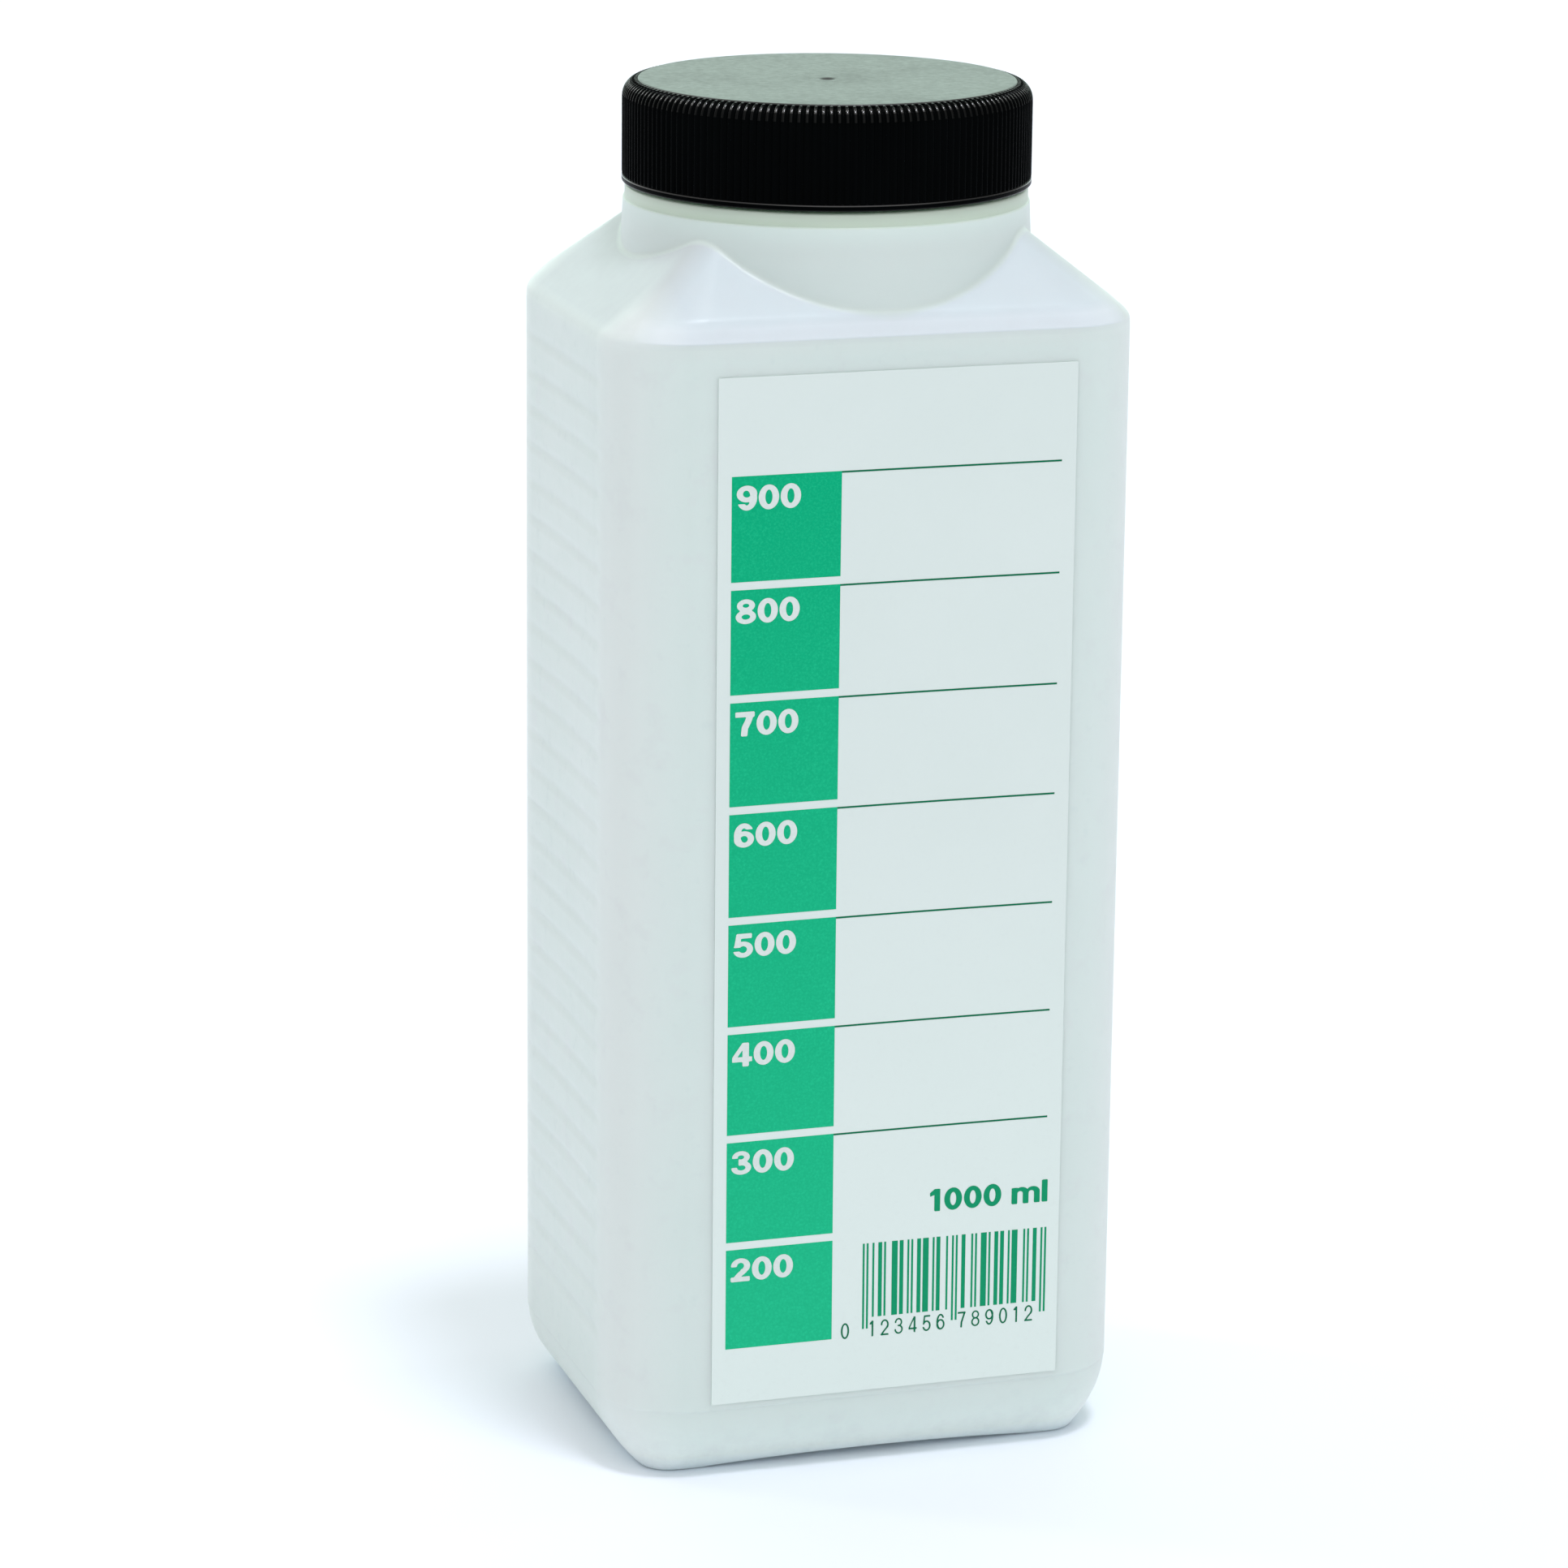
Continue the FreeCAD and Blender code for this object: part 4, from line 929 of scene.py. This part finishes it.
def figures(text, x, z, height, lift, wide, tv, th, gap, step=0.042, right=False, m_wide=1.30, space=0.34):
    """A line of plain figures as one thin mesh on the label's face; x is its left end, or its right end."""
    width = {"1": 0.72 * wide, "l": tv, "m": m_wide, " ": space}
    run, at = [], 0.0
    for ch in text:
        w = width.get(ch, wide)
        run.append((ch, at, w))
        at += w + (gap if ch != " " else 0.0)
    total = (at - gap) * height
    x0 = x - total if right else x
    V, F = [], []
    for ch, left, w in run:
        if ch == " ":
            continue
        gx = np.arange(-step, w + 2 * step, step)
        gy = np.arange(-step, 1 + 2 * step, step)
        X, Y = np.meshgrid(gx, gy)
        D = figure(ch, X, Y, w, tv, th)
        D = np.where(np.abs(D) < 1e-6, 1e-6, D)
        known = {}

        def vid(key, px, py):
            if key not in known:
                known[key] = len(V)
                V.append(skin(x0 + (left + px) * height, z + py * height, lift))
            return known[key]

        for j in range(len(gy) - 1):
            for i in range(len(gx) - 1):
                c = [(i, j), (i + 1, j), (i + 1, j + 1), (i, j + 1)]
                d = [D[q[1], q[0]] for q in c]
                if min(d) > 0:
                    continue
                poly = []
                for k in range(4):
                    (ai, aj), (bi, bj) = c[k], c[(k + 1) % 4]
                    da, db = d[k], d[(k + 1) % 4]
                    if da < 0:
                        poly.append(vid((ai, aj), gx[ai], gy[aj]))
                    if (da < 0) != (db < 0):
                        u = da / (da - db)
                        key = (min(ai, bi), min(aj, bj), "h" if aj == bj else "v")
                        poly.append(vid(key, gx[ai] + u * (gx[bi] - gx[ai]), gy[aj] + u * (gy[bj] - gy[aj])))
                if len(set(poly)) >= 3:
                    F.append(tuple(poly))
    return V, F


TOP = 0.062 + LAYER
nums = []
for k in range(8):
    top = Z900 - k * STEP
    nums.append(figures("%d" % (900 - 100 * k), FX0 + 0.80, top - 5.50, 4.00, TOP + 0.022, 0.845, 0.275, 0.205, 0.065))
numerals = merged("scale_numerals", nums, M_PALE)
volume = merged("volume_mark", [figures("1000 ml", 29.2, 43.0, 3.85, TOP, 0.80, 0.265, 0.20, 0.085, right=True, m_wide=1.28, space=0.38)], M_MARK)

# a plain field of bars in a pattern of its own, with plain figures counting up under it
left_half = [1, 2, 1, 3, 2, 1, 1, 2, 3, 1, 2, 1]
right_half = [2, 1, 1, 3, 1, 2, 2, 1, 3, 1, 1, 2]
gaps_half = [2, 1, 3, 1, 2, 1, 2, 1, 2, 1, 3]
runs = [(1, 1), (1, 2)] + list(zip(left_half, gaps_half + [2])) + [(1, 1), (1, 2)] + list(zip(right_half, gaps_half[::-1] + [2])) + [(1, 1), (1, 0)]
unit = (29.15 + 2.75) / sum(a + b for a, b in runs)
guards = (0, 1, 14, 15, 28, 29)
bars = []
x = -2.75
for k, (w, g) in enumerate(runs):
    bars.append(sheet_piece("b", x, x + w * unit, 23.8 if k in guards else 25.75, 38.55, TOP, 0.024, None, 1, 3))
    x += (w + g) * unit
bar_field = merged("bar_field", bars, M_MARK)
thin = dict(wide=0.52, tv=0.110, th=0.104, gap=0.362, step=0.036)
digits = merged("bar_digits", [figures("0", -6.4, 22.35, 2.75, TOP, **thin), figures("123456", -1.55, 22.35, 2.75, TOP, **thin),
                               figures("789012", 13.85, 22.35, 2.75, TOP, **thin)], M_RULE)

# ------------------------------------------------------------------ what rides on what
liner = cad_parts["seal_liner"]
liner.data.materials.clear()
liner.data.materials.append(M_FOAM)

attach(bottle, "bottle"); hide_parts("bottle")
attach(cap, "screw_cap"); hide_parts("cap")
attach(label, "bottle"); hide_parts("label")
for ob in (scale_fields, scale_rules, numerals, volume, bar_field, digits):
    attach(ob, "bottle")

# ------------------------------------------------------------------ stage, light and camera
me = bpy.data.meshes.new("floor")
S = 6.0
me.from_pydata([(-S, -S, 0), (S, -S, 0), (S, S, 0), (-S, S, 0)], [], [(0, 1, 2, 3)])
floor = bpy.data.objects.new("floor", me)
scene.collection.objects.link(floor)
ft = Tree("floor_pale")
fn = ft.noise(6.0, 2.0, 0.5)
ft.set(Base_Color=ft.mix(ft.range(fn, 0.3, 0.7, 0.0, 1.0), (0.815, 0.846, 0.912), (0.825, 0.856, 0.922)), Roughness=0.8)
ft.set(Specular_IOR_Level=0.2)
me.materials.append(ft.m)

world = bpy.data.worlds.new("studio")
scene.world = world
world.use_nodes = True
wt = world.node_tree
bg = wt.nodes["Background"]
W_LEVEL, W_LEFT, W_RIGHT, W_BACK = 1.01, 0.50, 0.68, 1.72      # all round, lost at each side, low behind
W_COLOR, W_BACK_COLOR = (1.0, 0.985, 0.975), (0.79, 1.0, 0.89)
LAMPS = (("overhead", (0.10, -0.22, 1.0), 10.0, 1.05, (0.95, 0.97, 1.06)),
         ("rib_glint_left", (-0.549, 0.387, 0.741), 5.0, 0.18, (1.0, 1.0, 1.0)),
         ("rib_glint_right", (0.640, 0.060, 0.741), 3.5, 0.07, (1.0, 1.0, 1.0)))


def wnode(op, a, b):
    n = wt.nodes.new("ShaderNodeMath")
    n.operation = op
    for i, v in enumerate((a, b)):
        if isinstance(v, (int, float)):
            n.inputs[i].default_value = v
        else:
            wt.links.new(v, n.inputs[i])
    return n.outputs[0]


def wrange(v, a, b, c, d):
    n = wt.nodes.new("ShaderNodeMapRange")
    n.interpolation_type = "SMOOTHSTEP"
    for k, x in zip(("From Min", "From Max", "To Min", "To Max"), (a, b, c, d)):
        n.inputs[k].default_value = x
    wt.links.new(v, n.inputs["Value"])
    return n.outputs["Result"]


tc = wt.nodes.new("ShaderNodeTexCoord")
sp = wt.nodes.new("ShaderNodeSeparateXYZ")
wt.links.new(tc.outputs["Generated"], sp.inputs[0])
toward = wnode("ADD", wnode("ADD", wnode("MULTIPLY", sp.outputs[0], 0.29), wnode("MULTIPLY", sp.outputs[1], 0.92)), wnode("MULTIPLY", sp.outputs[2], 0.25))
band = wrange(toward, 0.70, 0.93, 0.0, 1.0)
mixc = wt.nodes.new("ShaderNodeMix")
mixc.data_type = "RGBA"
wt.links.new(band, mixc.inputs["Factor"])
ca = [q for q in mixc.inputs if q.name == "A" and q.type == "RGBA"][0]
cb = [q for q in mixc.inputs if q.name == "B" and q.type == "RGBA"][0]
ca.default_value = tuple(W_COLOR) + (1.0,)
cb.default_value = tuple(W_BACK_COLOR) + (1.0,)
wt.links.new([q for q in mixc.outputs if q.type == "RGBA"][0], bg.inputs["Color"])
side = wnode("MULTIPLY", wrange(wnode("ABSOLUTE", sp.outputs[0], 0.0), 0.35, 0.95, 0.0, 1.0), wrange(sp.outputs[0], 0.0, 0.6, W_LEFT, W_RIGHT))
level = wnode("SUBTRACT", W_LEVEL, side)
extra = wnode("MULTIPLY", band, W_BACK - W_LEVEL)
wt.links.new(wnode("ADD", level, extra), bg.inputs["Strength"])

for name, way, angle, power, tint in LAMPS:
    sun = bpy.data.lights.new(name, "SUN")
    sun.energy, sun.angle, sun.color = power, math.radians(angle), tint
    sun_ob = bpy.data.objects.new(name, sun)
    scene.collection.objects.link(sun_ob)
    sun_ob.rotation_mode = "QUATERNION"
    sun_ob.rotation_quaternion = Vector(way).to_track_quat("Z", "Y")

cam = bpy.data.cameras.new("camera")
cam_ob = bpy.data.objects.new("camera", cam)
scene.collection.objects.link(cam_ob)
scene.camera = cam_ob
cam.sensor_fit = "HORIZONTAL"
cam.sensor_width = 36.0
cam.lens = 36.0 * 7145.43 / 1932.0
cam.dof.use_dof = False
cam.clip_start, cam.clip_end = 0.02, 50.0
Rv = Vector((0.9543262563904812, -0.298603559454815, 0.009864615787975681))
Bv = Vector((-0.29119549021070906, -0.9222498471153215, 0.25428410484477976))
Uv = Bv.cross(Rv)
rot = Matrix((Rv, Uv, Bv)).transposed().to_4x4()
cam_ob.matrix_world = Matrix.Translation(Vector((-0.28669620523, -0.88851193892, 0.34540707668 + 0.00745))) @ rot

scene.view_settings.view_transform = "Standard"
scene.view_settings.look = "None"
scene.view_settings.exposure = 0.0
scene.view_settings.gamma = 1.0
scene.cycles.use_denoising = True
